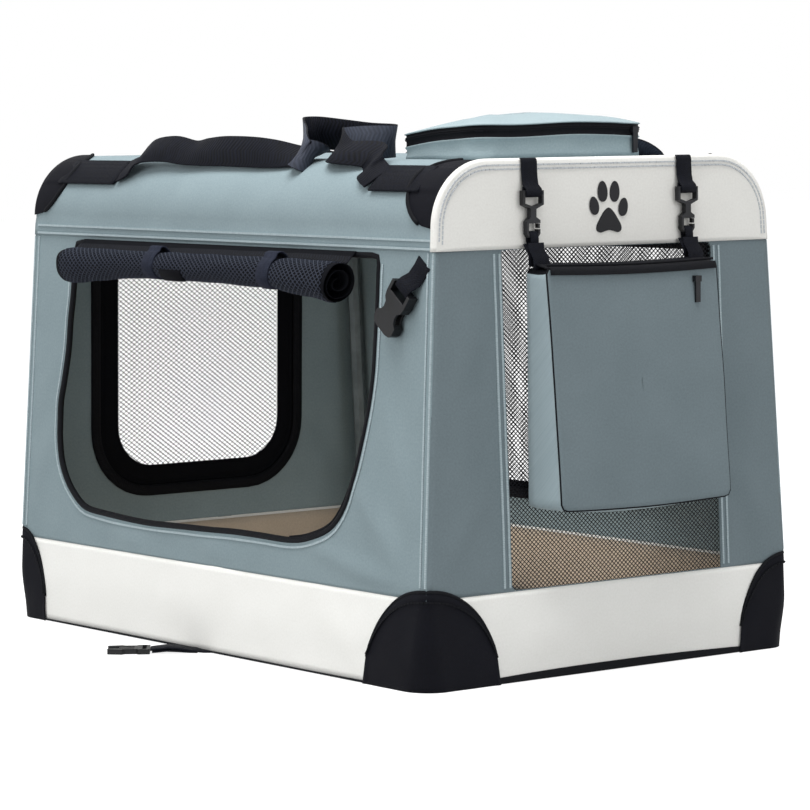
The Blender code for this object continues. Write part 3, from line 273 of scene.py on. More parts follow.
def cloth_finish(name, dark, light, group=PLAIN_WEAVE, pitch=800.0, relief=0.00025, roughness=0.82,
                 sheen=0.05, shine=0.3):
    """A woven finish: its two yarn shades, the weave's pitch and how far the threads stand up."""
    mat, tree, shader = new_finish(name)
    weave = laid_on(tree, group, add(tree, "UVMap", uv_map="cloth").outputs[0], pitch)
    two_shades(tree, shader, weave["Shade"], dark, light, 0.30, 0.70)
    stand_up(tree, shader, weave["Height"], 0.5, relief)
    roughen(tree, shader, weave["Shade"], roughness - 0.07, roughness + 0.07)
    shader.inputs["Specular IOR Level"].default_value = shine
    shader.inputs["Sheen Weight"].default_value = sheen
    shader.inputs["Sheen Roughness"].default_value = 0.5
    return mat


black_cloth = cloth_finish("black cloth", linear(8, 9, 12), linear(15, 16, 21), pitch=700.0,
                           sheen=0.0, shine=0.06)
binding_cloth = cloth_finish("black binding", linear(9, 10, 13), linear(20, 21, 26), WEBBING_RIBS,
                             sheen=0.0, shine=0.12)


def cloth_layer(bm):
    """The map that a piece's weave follows."""
    return bm.loops.layers.uv.get("cloth") or bm.loops.layers.uv.new("cloth")


def grid(bm, across, down, place, slot=0):
    """A grid of cloth bent into place; place(u, v) gives a point and its weave place in metres."""
    made = bmesh.ops.create_grid(bm, x_segments=across, y_segments=down, size=0.5)["verts"]
    layer = cloth_layer(bm)
    laid = {vert: place(vert.co.x + 0.5, vert.co.y + 0.5) for vert in made}
    for face in {face for vert in made for face in vert.link_faces}:
        middle = face.calc_center_median()
        face.material_index = slot(middle.x + 0.5, middle.y + 0.5) if callable(slot) else slot
        face.smooth = True
        for loop in face.loops:
            loop[layer].uv = laid[loop.vert][1]
    for vert, (point, _) in laid.items():
        vert.co = point
    bmesh.ops.remove_doubles(bm, verts=made, dist=0.000002)
    return [vert for vert in made if vert.is_valid]


def sweep(bm, path, outs, outline, slot=0, closed=False):
    """Run an outline (across, out) along a path; outs is which way is out, or a list of that."""
    count, sides = len(path), len(outline)
    steps = count if closed else count - 1
    lengths, girth = [0.0], [0.0]
    for k in range(steps):
        lengths.append(lengths[-1] + (path[(k + 1) % count] - path[k]).length)
    for k in range(sides):
        girth.append(girth[-1] + math.dist(outline[k], outline[(k + 1) % sides]))

    def place(u, v):
        i, j = round(u * steps), round(v * sides)
        k = i % count if closed else i
        before = path[k - 1] if closed or k else path[k]
        after = path[(k + 1) % count] if closed or k < count - 1 else path[k]
        tangent = (after - before).normalized()
        across = tangent.cross(outs[k] if isinstance(outs, list) else outs).normalized()
        out = across.cross(tangent)
        a, b = outline[j % sides]
        return path[k] + across * a + out * b, (lengths[i], girth[j])

    made = grid(bm, steps, sides, place, slot)
    if not closed:
        rims = {edge for vert in made for edge in vert.link_edges if edge.is_boundary}
        for face in bmesh.ops.holes_fill(bm, edges=list(rims), sides=0)["faces"]:
            face.material_index = slot


def flat_band(width, thick):
    """The outline of a band of webbing, its edges a little rounded."""
    w, t, edge = width / 2, thick, 0.0004
    return [(-w, edge), (-w, t - edge), (-w + edge, t), (0, t * 1.04), (w - edge, t),
            (w, t - edge), (w, edge), (w - edge, 0), (0, 0), (-w + edge, 0)]


def round_bead(radius, lift=0.0, sides=8, flat=1.0):
    """The outline of a round or flattened bead."""
    turns = [math.tau * k / sides for k in range(sides)]
    return [(-radius * math.cos(turn), lift + radius * flat * math.sin(turn)) for turn in turns]


def rounded_box_path(half_x, half_y, radius, steps=6, spacing=0.02):
    """A closed path round a rounded rectangle, anticlockwise from above."""
    points = []
    corners = ((half_x - radius, half_y - radius), (radius - half_x, half_y - radius),
               (radius - half_x, radius - half_y), (half_x - radius, radius - half_y))
    for number, corner in enumerate(corners):
        points += [on_circle(*corner, radius, 90 * number + 90 * k / steps) for k in range(steps + 1)]
        following = (number + 1) % 4
        gap = on_circle(*corners[following], radius, 90 * following) - points[-1]
        cuts = int(gap.length / spacing)
        points += [points[-1] + gap * k / cuts for k in range(1, cuts)]
    return [point.to_3d() for point in points]


def cloth_piece(name, bm, finishes, body, replaced=(), thickness=0.0, outward=False):
    """Make a piece of a mesh, give it its finishes, thickness and body, and stand it for its nodes."""
    mesh = bpy.data.meshes.new(name)
    bm.to_mesh(mesh)
    bm.free()
    for finish in finishes:
        mesh.materials.append(finish)
    obj = bpy.data.objects.new(name, mesh)
    bpy.context.scene.collection.objects.link(obj)
    if thickness:
        modifier = obj.modifiers.new("cloth thickness", "SOLIDIFY")
        modifier.thickness = thickness
        modifier.offset = 1.0 if outward else -1.0
    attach(obj, body)
    if replaced:
        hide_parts(*replaced)
    return obj


def side_of(point):
    """Out from the carrier's middle, for a place on its base edge."""
    x = abs(point.x) - (BASE_HALF[0] - CORNER_ROUND)
    y = abs(point.y) - (BASE_HALF[1] - CORNER_ROUND)
    return Vector((math.copysign(max(x, 0), point.x), math.copysign(max(y, 0), point.y), 0)).normalized()


def tray_place(u, v):
    """The underside's cloth, cut round at its corners."""
    x, y = (u - 0.5) * TRAY[0], (v - 0.5) * TRAY[1]
    beyond = Vector([max(0.0, abs(at) - straight) for at, straight in zip((x, y), TRAY_STRAIGHT)])
    if beyond.length > CORNER_ROUND:
        beyond *= CORNER_ROUND / beyond.length
        x, y = [math.copysign(straight + over, at) if abs(at) > straight else at
                for at, straight, over in zip((x, y), TRAY_STRAIGHT, beyond)]
    return Vector((x, y, TRAY_LIFT)), (x, y)


binding_path = rounded_box_path(*BASE_HALF, CORNER_ROUND, steps=8)


def binding_high(point):
    """How far the binding is turned up: little along the sides, most in the middle of the ends."""
    end = max(0.0, (abs(point.y) - (BASE_HALF[1] - CORNER_ROUND)) / CORNER_ROUND)
    middle = max(0.0, 1 - (point.x / 0.235) ** 2)
    return 0.0030 + end * (0.0012 + 0.0056 * middle) + 0.0005 * noise.noise(point * 9)


def binding_place(u, v):
    """The binding, from under the tray's edge, round it and up to its own edge."""
    point = binding_path[round(u * len(binding_path)) % len(binding_path)]
    high = binding_high(point)
    out, up = [(-0.0030, 0.0006), (-0.0004, 0.0006), (0.0012, 0.0010), (0.0016, high * 0.5),
               (0.0013, high * 0.9), (0.0004, high), (-0.0012, high - 0.0004)][round(v * 6)]
    spot = point + side_of(point) * out
    return Vector((spot.x, spot.y, up)), (point.x + point.y, v * 0.012)


bm = bmesh.new()
grid(bm, 48, 72, tray_place)
grid(bm, len(binding_path), 6, binding_place, 1)
base_sheet = cloth_piece("base_cloth", bm, [black_cloth, binding_cloth], "base", ["bottom_cloth"])


# ---------------------------------------------------------------- white band
# A strip of white coated polyester sewn between the binding and the grey walls. It is smooth and
# matt, and billows a little between its corners.
BAND_LOW, BAND_TOP = 0.0022, 0.0900
BAND_THICK = 0.0014
LONG_STEPS, SHORT_STEPS, CORNER_STEPS = 80, 54, 8
SEAM_ROUND, CORNER_HIGH = 0.006, 0.0985         # the corners' radius at the seam, and its height
STITCH_PITCH, STITCH_LONG, STITCH_WIDE, STITCH_HIGH = 0.0048, 0.0029, 0.0004, 0.0002
white_cloth = cloth_finish("white cloth", linear(236, 235, 230), linear(245, 244, 240), pitch=650.0,
                           relief=0.0002, sheen=0.0)
thread_grey = cloth_finish("grey thread", linear(150, 165, 170), linear(172, 186, 190), WEBBING_RIBS,
                           pitch=900.0, relief=0.0002)


def ridges(along, z, lines):
    """The height of soft folds at a place: each runs from one point to another and fades out."""
    total = 0.0
    for a0, z0, a1, z1, width, height in lines:
        run = Vector((a1 - a0, z1 - z0))
        length = run.length
        run.normalize()
        offset = Vector((along - a0, z - z0))
        t = offset.dot(run) / length
        if 0.0 < t < 1.0:
            aside = offset.x * run.y - offset.y * run.x
            total += height * math.sin(math.pi * t) * math.exp(-(aside / width) ** 2)
    return total


BAND_FOLDS = {
    "near": [(-0.27, 0.01, -0.17, 0.088, 0.012, 0.0009), (0.10, 0.02, -0.06, 0.085, 0.030, 0.0008)],
    "front": [(-0.13, 0.02, 0.02, 0.085, 0.016, 0.0010), (0.14, 0.015, 0.06, 0.088, 0.012, 0.0008)],
    "far": [(0.27, 0.01, 0.15, 0.088, 0.014, 0.0009)],
    "rear": [(0.12, 0.01, 0.02, 0.088, 0.014, 0.0009)],
}


def band_out(side, along, z):
    """How far the band stands off its plane: nothing at the corners and seams, a little between."""
    half = half_length(z) if side in ("near", "far") else half_width(z)
    free = max(0.0, 1 - (abs(along) / half) ** 6)
    up = max(0.0, math.sin(math.pi * min(1.0, max(0.0, (z - 0.006) / (BAND_TOP - 0.004)))))
    billow = 0.0012 * up + 0.0006 * noise.noise(Vector((along * 14, z * 20, 3.1)))
    return free * (billow * up + ridges(along, z, BAND_FOLDS[side]))


def stitches(bm, points, outs):
    """A row of lockstitches along a path, in a piece's second finish: short threads on the cloth."""
    lengths = [0.0]
    for a, b in zip(points, points[1:]):
        lengths.append(lengths[-1] + (b - a).length)
    layer = cloth_layer(bm)
    place, k = STITCH_PITCH / 2, 0
    while place < lengths[-1] - STITCH_PITCH / 2:
        while lengths[k + 1] < place:
            k += 1
        a, b = points[k], points[k + 1]
        spot = a.lerp(b, (place - lengths[k]) / (lengths[k + 1] - lengths[k]))
        tangent = (b - a).normalized()
        across = tangent.cross(outs(spot) if callable(outs) else outs).normalized()
        out = across.cross(tangent)
        shape = Matrix((tangent * STITCH_LONG, across * STITCH_WIDE, out * STITCH_HIGH))
        shape = shape.transposed().to_4x4()
        shape.translation = spot + out * STITCH_HIGH * 0.3
        for vert in bmesh.ops.create_cube(bm, size=1.0, matrix=shape)["verts"]:
            for face in vert.link_faces:
                face.material_index = 1
                for loop in face.loops:
                    loop[layer].uv = (loop.vert.co.y + loop.vert.co.x, loop.vert.co.z)
        place += STITCH_PITCH


def corner_round(z):
    """The radius of the shell's upright corners: wide on the floor, small at the seam."""
    return SEAM_ROUND + (CORNER_ROUND - SEAM_ROUND) * max(0.0, 1 - z / CORNER_HIGH) ** 1.3


def band_path(z):
    """The band's places at a height, all the way round, with which side each belongs to."""
    radius, half_x, half_y = corner_round(z), half_width(z), half_length(z)
    sides = (("far", 1, 1), ("rear", -1, 1), ("near", -1, -1), ("front", 1, -1))
    spots = []
    for number, (side, sx, sy) in enumerate(sides):
        count = LONG_STEPS if side in ("far", "near") else SHORT_STEPS
        for k in range(count):
            share = sy * (2 * (k + 0.5) / count - 1)
            spots.append((side, Vector((sx * half_x, share * (half_y - radius))) if count == LONG_STEPS
                          else Vector((-share * (half_x - radius), sy * half_y))))
        spots += [(None, on_circle(sx * (half_x - radius), sy * (half_y - radius), radius,
                                   90 * number + 90 * k / CORNER_STEPS)) for k in range(CORNER_STEPS + 1)]
    return spots


def band_place(u, v):
    """The band's cloth; its rounded corners carry no side and no folds."""
    z = BAND_LOW + (BAND_TOP + 0.0004 - BAND_LOW) * v
    spots = band_path(z)
    side, spot = spots[round(u * len(spots)) % len(spots)]
    if side is None:
        return Vector((spot.x, spot.y, z)), (spot.x + spot.y, z)
    along = spot.y if side in ("near", "far") else spot.x
    return on_wall(side, along, z, band_out(side, along, z) - 0.0003), (along, z)


bm = bmesh.new()
grid(bm, len(band_path(0)), 14, band_place)
bmesh.ops.recalc_face_normals(bm, faces=bm.faces)
band = cloth_piece("white_band_cloth", bm, [white_cloth], "base", ["white_band"], thickness=BAND_THICK)


# ---------------------------------------------------------------- corner patches
# Domes of tough black nylon folded round the bottom corners over the white band, edged with a
# binding that is sewn down. They take the knocks of a floor corner.
PATCH_REACH = {("front", "near"): 0.0885, ("rear", "near"): 0.052,
               ("front", "far"): 0.066, ("rear", "far"): 0.060}
PATCH_STEPS = 48
patch_cloth = cloth_finish("patch nylon", linear(8, 8, 13), linear(17, 18, 25), pitch=520.0,
                           relief=0.0004, roughness=0.7, sheen=0.0, shine=0.08)


def round_corner(sx, sy, reach, z, out, long_side):
    """A place on a rounded upright corner, by its way along the cloth from the corner's middle."""
    radius = corner_round(z)
    arc = radius * math.pi / 4
    half_x, half_y = half_width(z), half_length(z)
    if reach < arc:
        turn = math.pi / 4 * (1 - reach / arc) if long_side else math.pi / 4 * (1 + reach / arc)
        x = half_x - radius + (radius + out) * math.cos(turn)
        y = half_y - radius + (radius + out) * math.sin(turn)
    elif long_side:
        x, y = half_x + out, half_y - radius - (reach - arc)
    else:
        x, y = half_x - radius - (reach - arc), half_y + out
    return Vector((sx * x, sy * y, z))


for end, sy in (("front", -1), ("rear", 1)):
    for side, sx in (("near", -1), ("far", 1)):

        def patch_place(u, v, lift=0.0016):
            """u runs from the long side over the corner to the end, v from the floor to the rim."""
            share = abs(2 * u - 1)
            rim_z = max(CORNER_HIGH * math.sqrt(max(0.0, 1 - share ** 2)), 0.0006)
            z = 0.0004 + (rim_z - 0.0004) * v
            reach = PATCH_REACH[end, side] * share
            swell = math.sin(math.pi * min(1, v)) * (1 - share ** 3) * 0.0020
            hem = 0.0008 * (1 if v > 0.90 or share > 0.93 else 0)
            crumple = 0.0013 * noise.noise(Vector((reach * 30 * (1 if u < 0.5 else -1), z * 30, 2.0)))
            stand = lift + swell + hem + crumple
            return round_corner(sx, sy, reach, z, stand, u < 0.5), (reach if u < 0.5 else -reach, z)

        def patch_out(spot):
            """Which way is out of the corner's dome."""
            return (Vector((spot.x, spot.y, 0)) - Vector((sx * 0.19, sy * 0.31, 0))).normalized()

        bm = bmesh.new()
        grid(bm, PATCH_STEPS, 16, patch_place)
        bmesh.ops.recalc_face_normals(bm, faces=bm.faces)
        rim = [patch_place(0.5 + k / PATCH_STEPS, 1.0, 0.0006)[0] for k in range(-23, 24)]
        sweep(bm, rim, [patch_out(spot) for spot in rim], round_bead(0.0009, sides=6, flat=0.7), slot=1)
        stitches(bm, [patch_place(0.5 + k / 51, 0.90, 0.0030)[0] for k in range(-24, 25)], patch_out)
        cloth_piece(f"bottom_patch_{end}_{side}_cloth", bm, [patch_cloth, binding_cloth], "base",
                    [f"bottom_patch_{end}_{side}"], thickness=0.0010)


# ---------------------------------------------------------------- long walls
# Grey coated polyester in one panel a side, cut out for a doorway. The cut edge is bound with
# black zip tape, and a row of pale topstitching runs round it on the turned-in allowance.
WALL_LOW, WALL_HIGH = 0.0900, 0.4256
COATED = 0.0016                                 # the thickness of the walls' and the roof's cloth
HEM_ROW = 0.0070                                # how far from a doorway's edge its stitches run
grey_cloth = cloth_finish("grey cloth", linear(121, 137, 142), linear(137, 153, 158), pitch=620.0)
# The front's grey is the walls' grey made darker: painted shade for the end that the lamps light less
grey_painted_shade = cloth_finish("grey cloth with painted shade", linear(101, 114, 119), linear(115, 128, 133),
                          pitch=620.0)
zip_tape = cloth_finish("zip tape", linear(8, 9, 12), linear(22, 23, 28), WEBBING_RIBS, pitch=700.0,
                        relief=0.0004, roughness=0.6, sheen=0.0, shine=0.08)

NEAR_DOORWAY = [(-0.267, 0.375), (-0.266, 0.336), (-0.264, 0.297), (-0.257, 0.258), (-0.246, 0.218),
                (-0.235, 0.187), (-0.220, 0.161), (-0.202, 0.145), (-0.172, 0.134), (-0.139, 0.129),
                (-0.088, 0.129), (-0.035, 0.1285), (0.010, 0.127), (0.055, 0.126), (0.111, 0.125),
                (0.168, 0.126), (0.207, 0.128), (0.237, 0.132), (0.258, 0.144), (0.275, 0.160),
                (0.286, 0.178), (0.291, 0.201), (0.292, 0.222), (0.292, 0.244), (0.287, 0.267),
                (0.281, 0.300), (0.279, 0.333), (0.276, 0.355), (0.274, 0.382), (0.272, 0.405),
                (0.268, 0.4175), (0.230, 0.4180), (0.150, 0.4178), (0.050, 0.4175), (-0.050, 0.4175),
                (-0.150, 0.4178), (-0.230, 0.4180), (-0.2655, 0.4175), (-0.267, 0.405)]


def curve_between(a, b, c, d, t):
    """The smooth curve from b to c that heads on from a and towards d."""
    return 0.5 * ((2 * b) + (c - a) * t + (2 * a - 5 * b + 4 * c - d) * t * t
                  + (3 * b - a - 3 * c + d) * t ** 3)


def smooth_loop(points, count):
    """A closed smooth curve through points, as evenly spaced places."""
    total = len(points)
    dense = []
    for k in range(total):
        near_by = [Vector(points[(k + d) % total]) for d in (-1, 0, 1, 2)]
        dense += [curve_between(*near_by, step / 8) for step in range(8)]
    return even_loop(dense, count)


def even(points, count):
    """The same run of places, spaced evenly, with count steps."""
    lengths = [0.0]
    for a, b in zip(points, points[1:]):
        lengths.append(lengths[-1] + (b - a).length)
    spaced, k = [], 0
    for step in range(count + 1):
        want = lengths[-1] * step / count
        while k < len(points) - 2 and lengths[k + 1] < want:
            k += 1
        share = (want - lengths[k]) / max(1e-9, lengths[k + 1] - lengths[k])
        spaced.append(points[k].lerp(points[k + 1], min(1.0, share)))
    return spaced


def even_loop(points, count):
    """A closed path as count evenly spaced places."""
    return even(points + [points[0]], count)[:-1]


def doorway_outline(half, shift, low, high, low_round, high_round):
    """A doorway with rounded corners as places along and up."""
    points = []
    for cx, cy, radius, start in ((shift + half - low_round, low + low_round, low_round, -90),
                                  (shift + half - high_round, high - high_round, high_round, 0),
                                  (shift - half + high_round, high - high_round, high_round, 90),
                                  (shift - half + low_round, low + low_round, low_round, 180)):
        points += [on_circle(cx, cy, radius, start + 90 * k / 8) for k in range(9)]
    return even_loop(points, 160)


def ray_to_outline(centre, point, outline):
    """Where the ray from the centre through a point leaves a closed outline."""
    run = (point - centre).normalized()
    best = None
    for a, b in zip(outline, outline[1:] + outline[:1]):
        edge = b - a
        cross = run.x * edge.y - run.y * edge.x
        if abs(cross) < 1e-12:
            continue
        gap = a - centre
        t = (gap.x * edge.y - gap.y * edge.x) / cross
        s = (gap.x * run.y - gap.y * run.x) / cross
        if t > 0 and -1e-9 <= s <= 1 + 1e-9 and (best is None or t < best):
            best = t
    return centre + run * best


def face_out(bm, side):
    """Turn an open panel's faces to the outside of its wall."""
    bmesh.ops.recalc_face_normals(bm, faces=bm.faces)
    if next(iter(bm.faces)).normal.dot(wall_out(side)) < 0:
        bmesh.ops.reverse_faces(bm, faces=bm.faces)


def ring_panel(bm, side, inner, outer, rings):
    """A wall's cloth between its doorway's outline and its own edge."""
    count = len(inner)
    centre = sum(inner, Vector((0, 0))) / count
    far = [ray_to_outline(centre, point, outer) for point in inner]
    if len(outer) == 4:
        for corner in outer:
            nearest = min(range(count), key=lambda k: (far[k] - corner).length)
            far[nearest] = corner.copy()

    def place(u, v):
        k = round(u * count) % count
        spot = inner[k].lerp(far[k], v ** 1.15)
        return on_wall(side, spot.x, spot.y, wall_stand(side, spot.x, spot.y)), (spot.x, spot.y)

    grid(bm, count, rings, place)
    face_out(bm, side)


def offset_loop(points, distance):
    """A closed outline moved outwards by a distance."""
    count = len(points)
    centre = sum(points, Vector((0, 0))) / count
    moved = []
    for k, point in enumerate(points):
        run = (points[(k + 1) % count] - points[k - 1]).normalized()
        away = Vector((run.y, -run.x))
        if away.dot(point - centre) < 0:
            away = -away
        moved.append(point + away * distance)
    return moved


WALL_FOLDS = {
    "near": [(-0.345, 0.095, -0.235, 0.200, 0.013, 0.0042), (-0.350, 0.120, -0.275, 0.300, 0.010, 0.0028),
             (-0.340, 0.092, -0.160, 0.130, 0.010, 0.0032), (0.350, 0.100, 0.300, 0.230, 0.012, 0.0020),
             (0.345, 0.200, 0.296, 0.320, 0.010, 0.0014), (-0.05, 0.094, 0.04, 0.124, 0.016, 0.0016),
             (0.12, 0.094, 0.20, 0.124, 0.014, 0.0014), (-0.345, 0.250, -0.280, 0.400, 0.012, 0.0014),
             (-0.310, 0.110, -0.300, 0.380, 0.016, -0.0018), (0.355, 0.280, 0.300, 0.400, 0.012, 0.0010)],
    "far": [(0.345, 0.095, 0.300, 0.240, 0.013, 0.0022), (-0.345, 0.095, -0.290, 0.240, 0.013, 0.0022),
            (-0.310, 0.120, -0.305, 0.380, 0.016, -0.0016)],
    "front": [(-0.225, 0.100, -0.160, 0.200, 0.013, 0.0024), (0.225, 0.100, 0.165, 0.210, 0.013, 0.0022),
              (-0.190, 0.110, -0.185, 0.400, 0.016, 0.0016), (0.190, 0.110, 0.185, 0.400, 0.016, 0.0014),
              (-0.215, 0.260, -0.150, 0.380, 0.012, 0.0012)],
    "rear": [(-0.225, 0.100, -0.160, 0.220, 0.014, 0.0022), (0.225, 0.100, 0.160, 0.220, 0.014, 0.0022),
             (-0.05, 0.094, 0.05, 0.122, 0.014, 0.0012)],
}


def wall_stand(side, along, z):
    """How far a wall's cloth stands off its plane: nothing at its seams, soft folds between."""
    half = half_length(z) if side in ("near", "far") else half_width(z)
    free = max(0.0, 1 - (abs(along) / half) ** 8) * min(1.0, max(0.0, (z - WALL_LOW) / 0.012))
    free *= min(1.0, max(0.0, (WALL_HIGH + 0.001 - z) / 0.010)) if side != "rear" else 1.0
    grain = 0.0007 * noise.noise(Vector((along * 9, z * 9, 7.7))) + 0.0004 * noise.noise(
        Vector((along * 24, z * 24, 1.3)))
    return free * (grain + ridges(along, z, WALL_FOLDS[side]))


def wall_line(side, points, out=0.0):
    """Places along and up, put on a wall's cloth."""
    return [on_wall(side, p.x, p.y, wall_stand(side, p.x, p.y) + out) for p in points]


def outline_area(points):
    """The area inside a closed outline."""
    return abs(sum(a.x * b.y - b.x * a.y for a, b in zip(points, points[1:] + points[:1]))) / 2


def wall_outline(half, inset=0.0):
    """A wall panel's own edge; half(z) is half its width, and it narrows upwards."""
    return [Vector((sx * (half(z) - inset), z)) for sx, z in
            ((-1, WALL_LOW), (1, WALL_LOW), (1, WALL_HIGH), (-1, WALL_HIGH))]


def zip_ring(bm, side, hole):
    """The fixed half of a door's zip: a ring of black tape sewn behind a doorway's edge."""
    rings = [offset_loop(hole, d) for d in (0.0050, 0.0010, -0.0030, -0.0070)]
    count = len(hole)

    def place(u, v):
        spot = rings[round(v * 3)][round(u * count) % count]
        return on_wall(side, spot.x, spot.y, -0.0030), (spot.x + spot.y, v * 0.012)

    grid(bm, count, 3, place, 2)


near_hole = smooth_loop(NEAR_DOORWAY, 180)
far_hole = doorway_outline(half=0.272, shift=0.010, low=0.127, high=0.418, low_round=0.150, high_round=0.004)
edge = wall_outline(half_length)
for side, hole in (("near", near_hole), ("far", far_hole)):
    bm = bmesh.new()
    ring_panel(bm, side, hole, edge, rings=18)
    run = [p for p in offset_loop(hole, HEM_ROW) if p.y < 0.416]
    first = max(range(len(run)), key=lambda k: (run[k] - run[k - 1]).length)
    stitches(bm, wall_line(side, run[first:] + run[:first]), wall_out(side))
    for end in (-1, 1):
        for inset in (0.0016, 0.0090):
            heights = [0.102 + 0.322 * k / 40 for k in range(41)]
            seam = [Vector((end * (half_length(z) - inset), z)) for z in heights]
            stitches(bm, wall_line(side, seam), wall_out(side))
    if side == "far":
        zip_ring(bm, side, hole)
    wall = cloth_piece(f"wall_{side}_cloth", bm, [grey_cloth, thread_grey, zip_tape], "base",
                       [f"wall_{side}"], thickness=COATED)
    outline_area(edge) - outline_area(hole)
    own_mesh(wall)

# The tape bound over the near doorway's edge, a little slack, and inside it the zip's own loose
# tape with its coil
slack_edge = [p + Vector((0.0016 * noise.noise(Vector((p.x * 11, p.y * 11, 0))),
                          0.0012 * noise.noise(Vector((p.x * 13, p.y * 13, 5))))) for p in near_hole]
edge_section = [(-0.0030, -0.0022), (-0.0032, 0.0008), (-0.0018, 0.0026), (0.0008, 0.0026),
                (0.0028, 0.0012), (0.0030, -0.0022)]
loose = [p for p in near_hole if p.x < -0.130 and p.y < 0.41]
loose.sort(key=lambda p: math.atan2(p.y - 0.27, p.x + 0.02) % math.tau)
tape = []
for k, p in enumerate(loose):
    share = math.sin(math.pi * k / (len(loose) - 1)) ** 0.6
    tape.append(on_wall("near", p.x + 0.0085 * share + 0.003 * math.sin(p.y * 16) * share,
                        p.y + 0.002 * share, -0.0030 - 0.0070 * share))
coil = [point + Vector((0.0004, 0.0036, 0.0010)) for point in tape]
bm = bmesh.new()
sweep(bm, wall_line("near", slack_edge, -0.0010), wall_out("near"), edge_section, closed=True)
sweep(bm, tape, wall_out("near"), flat_band(0.0090, 0.0012))
sweep(bm, coil, wall_out("near"), round_bead(0.0016, 0.0006))
near_binding = cloth_piece("near_doorway_edge", bm, [zip_tape], "base")
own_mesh(near_binding)


# ---------------------------------------------------------------- the end walls
# The front has a tall window between two grey strips and ends at the white yoke. The rear has a
# doorway with rounded corners and closes the arched roof. Their hems are topstitched.
TOP_ROUND = 0.065
SHELL_HEIGHT = 0.510
BEND_Z = SHELL_HEIGHT - TOP_ROUND
BEND_X = half_width(BEND_Z) - TOP_ROUND


def arch(inset, low, steps=10):
    """The arched end's outline at an inset, from the far foot over the top to the near foot."""
    half = [Vector((half_width(low) - inset, low))]
    half += [on_circle(BEND_X, BEND_Z, TOP_ROUND - inset, 90 * k / steps) for k in range(steps + 1)]
    return half + [Vector((-p.x, p.y)) for p in reversed(half)]


WINDOW_LOW, WINDOW_HIGH = 0.0908, 0.4238


def window_side(sx, z, inset=0.0):
    """The window's edge at a height: it narrows upwards, and its hem was sewn a little askew."""
    share = (z - WINDOW_LOW) / (WINDOW_HIGH - WINDOW_LOW)
    return (0.1485 - 0.0080 * share + inset) if sx > 0 else -(0.1300 + 0.0060 * share + inset)


window = []
for sx, order in ((1, range(41)), (-1, range(40, -1, -1))):
    heights = [WINDOW_LOW + (WINDOW_HIGH - WINDOW_LOW) * k / 40 for k in order]
    window += [Vector((window_side(sx, z), z)) for z in heights]
window = even_loop(window, 160)
edge = wall_outline(half_width, 0.0004)
bm = bmesh.new()
ring_panel(bm, "front", window, edge, rings=14)
for sx in (-1, 1):
    for inset in (0.0030, 0.0098):
        run = [Vector((window_side(sx, z, inset), z)) for z in (0.094 + 0.329 * k / 40 for k in range(41))]
        stitches(bm, wall_line("front", run), wall_out("front"))
# Its grey strips and hem take the darker grey of painted shade
wall_front = cloth_piece("wall_front_cloth", bm, [grey_painted_shade, thread_grey], "base", ["wall_front"],
                         thickness=COATED)
outline_area(edge) - outline_area(window)
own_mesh(wall_front)

rear_hole = doorway_outline(half=0.142, shift=0.0, low=0.127, high=0.418, low_round=0.072, high_round=0.004)
edge = arch(0.0010, WALL_LOW)
bm = bmesh.new()
ring_panel(bm, "rear", rear_hole, edge, rings=16)
stitches(bm, wall_line("rear", offset_loop(rear_hole, HEM_ROW)), wall_out("rear"))
zip_ring(bm, "rear", rear_hole)
wall_rear = cloth_piece("wall_rear_cloth", bm, [grey_cloth, thread_grey, zip_tape], "base", ["wall_rear"],
                        thickness=COATED)
outline_area(edge) - outline_area(rear_hole)
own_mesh(wall_rear)


# ---------------------------------------------------------------- nets and mesh doors
# Open polyester mesh with slack diamond cells. The window's net is sewn behind the front panel;
# the far and rear doors are nets in a black border, with a zip coil and a piping round it.
WINDOW_CELL, DOOR_CELL = (0.0052, 0.0046), (0.0072, 0.0052)
STRAND = 0.00135
NET_WIDE, NET_HIGH, NET_X, NET_Z = 0.2900, 0.3400, 0.0060, 0.2580
net_thread = cloth_finish("net thread", linear(10, 11, 14), linear(22, 23, 28), WEBBING_RIBS, pitch=900.0,
                          relief=0.0002, roughness=0.6, sheen=0.0, shine=0.1)


def net(bm, width, height, place, cell, slot=0, keep=None):
    """A diamond net cut to a size and bent into place; keep(x, y) says which cells stay."""
    wide, high = cell
    count = int(width / wide + height / high) + 3
    made = bmesh.ops.create_grid(bm, x_segments=count, y_segments=count, size=0.5)["verts"]
    for vert in made:
        i, j = vert.co.x * count, vert.co.y * count
        vert.co = ((i - j) / 2 * wide, (i + j) / 2 * high, 0)
    # A dict keeps their order, so that every run makes the same mesh
    faces = dict.fromkeys(face for vert in made for face in vert.link_faces)
    outside = []
    for face in faces:
        spot = face.calc_center_median()
        if abs(spot.x) > width / 2 or abs(spot.y) > height / 2 or (keep and not keep(spot.x, spot.y)):
            outside.append(face)
    bmesh.ops.delete(bm, geom=outside, context="FACES")
    cells = [face for face in faces if face.is_valid]
    bmesh.ops.inset_individual(bm, faces=cells, thickness=STRAND / 2)
    verts = {vert for face in cells for vert in face.verts}
    threads = {face for vert in verts for face in vert.link_faces} - set(cells)
    bmesh.ops.delete(bm, geom=cells, context="FACES_ONLY")
    layer = cloth_layer(bm)
    points = {vert for face in threads for vert in face.verts}
    for face in threads:
        face.material_index = slot
        for loop in face.loops:
            loop[layer].uv = (loop.vert.co.x, loop.vert.co.y)
    for vert in points:
        vert.co = place(vert.co.x, vert.co.y)


def net_billow(x, y, width, height, depth):
    """How far a net hangs off its plane between its sewn edges."""
    return depth * max(0.0, 1 - (2 * x / width) ** 2) * max(0.0, 1 - (2 * y / height) ** 2)


bm = bmesh.new()
net(bm, NET_WIDE, NET_HIGH, lambda x, y: on_wall(
    "front", NET_X + x, NET_Z + y, -0.0034 - net_billow(x, y, NET_WIDE, NET_HIGH, 0.0012)), WINDOW_CELL)
window_net = cloth_piece("window_net", bm, [net_thread], "base", ["front_mesh"])
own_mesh(window_net)


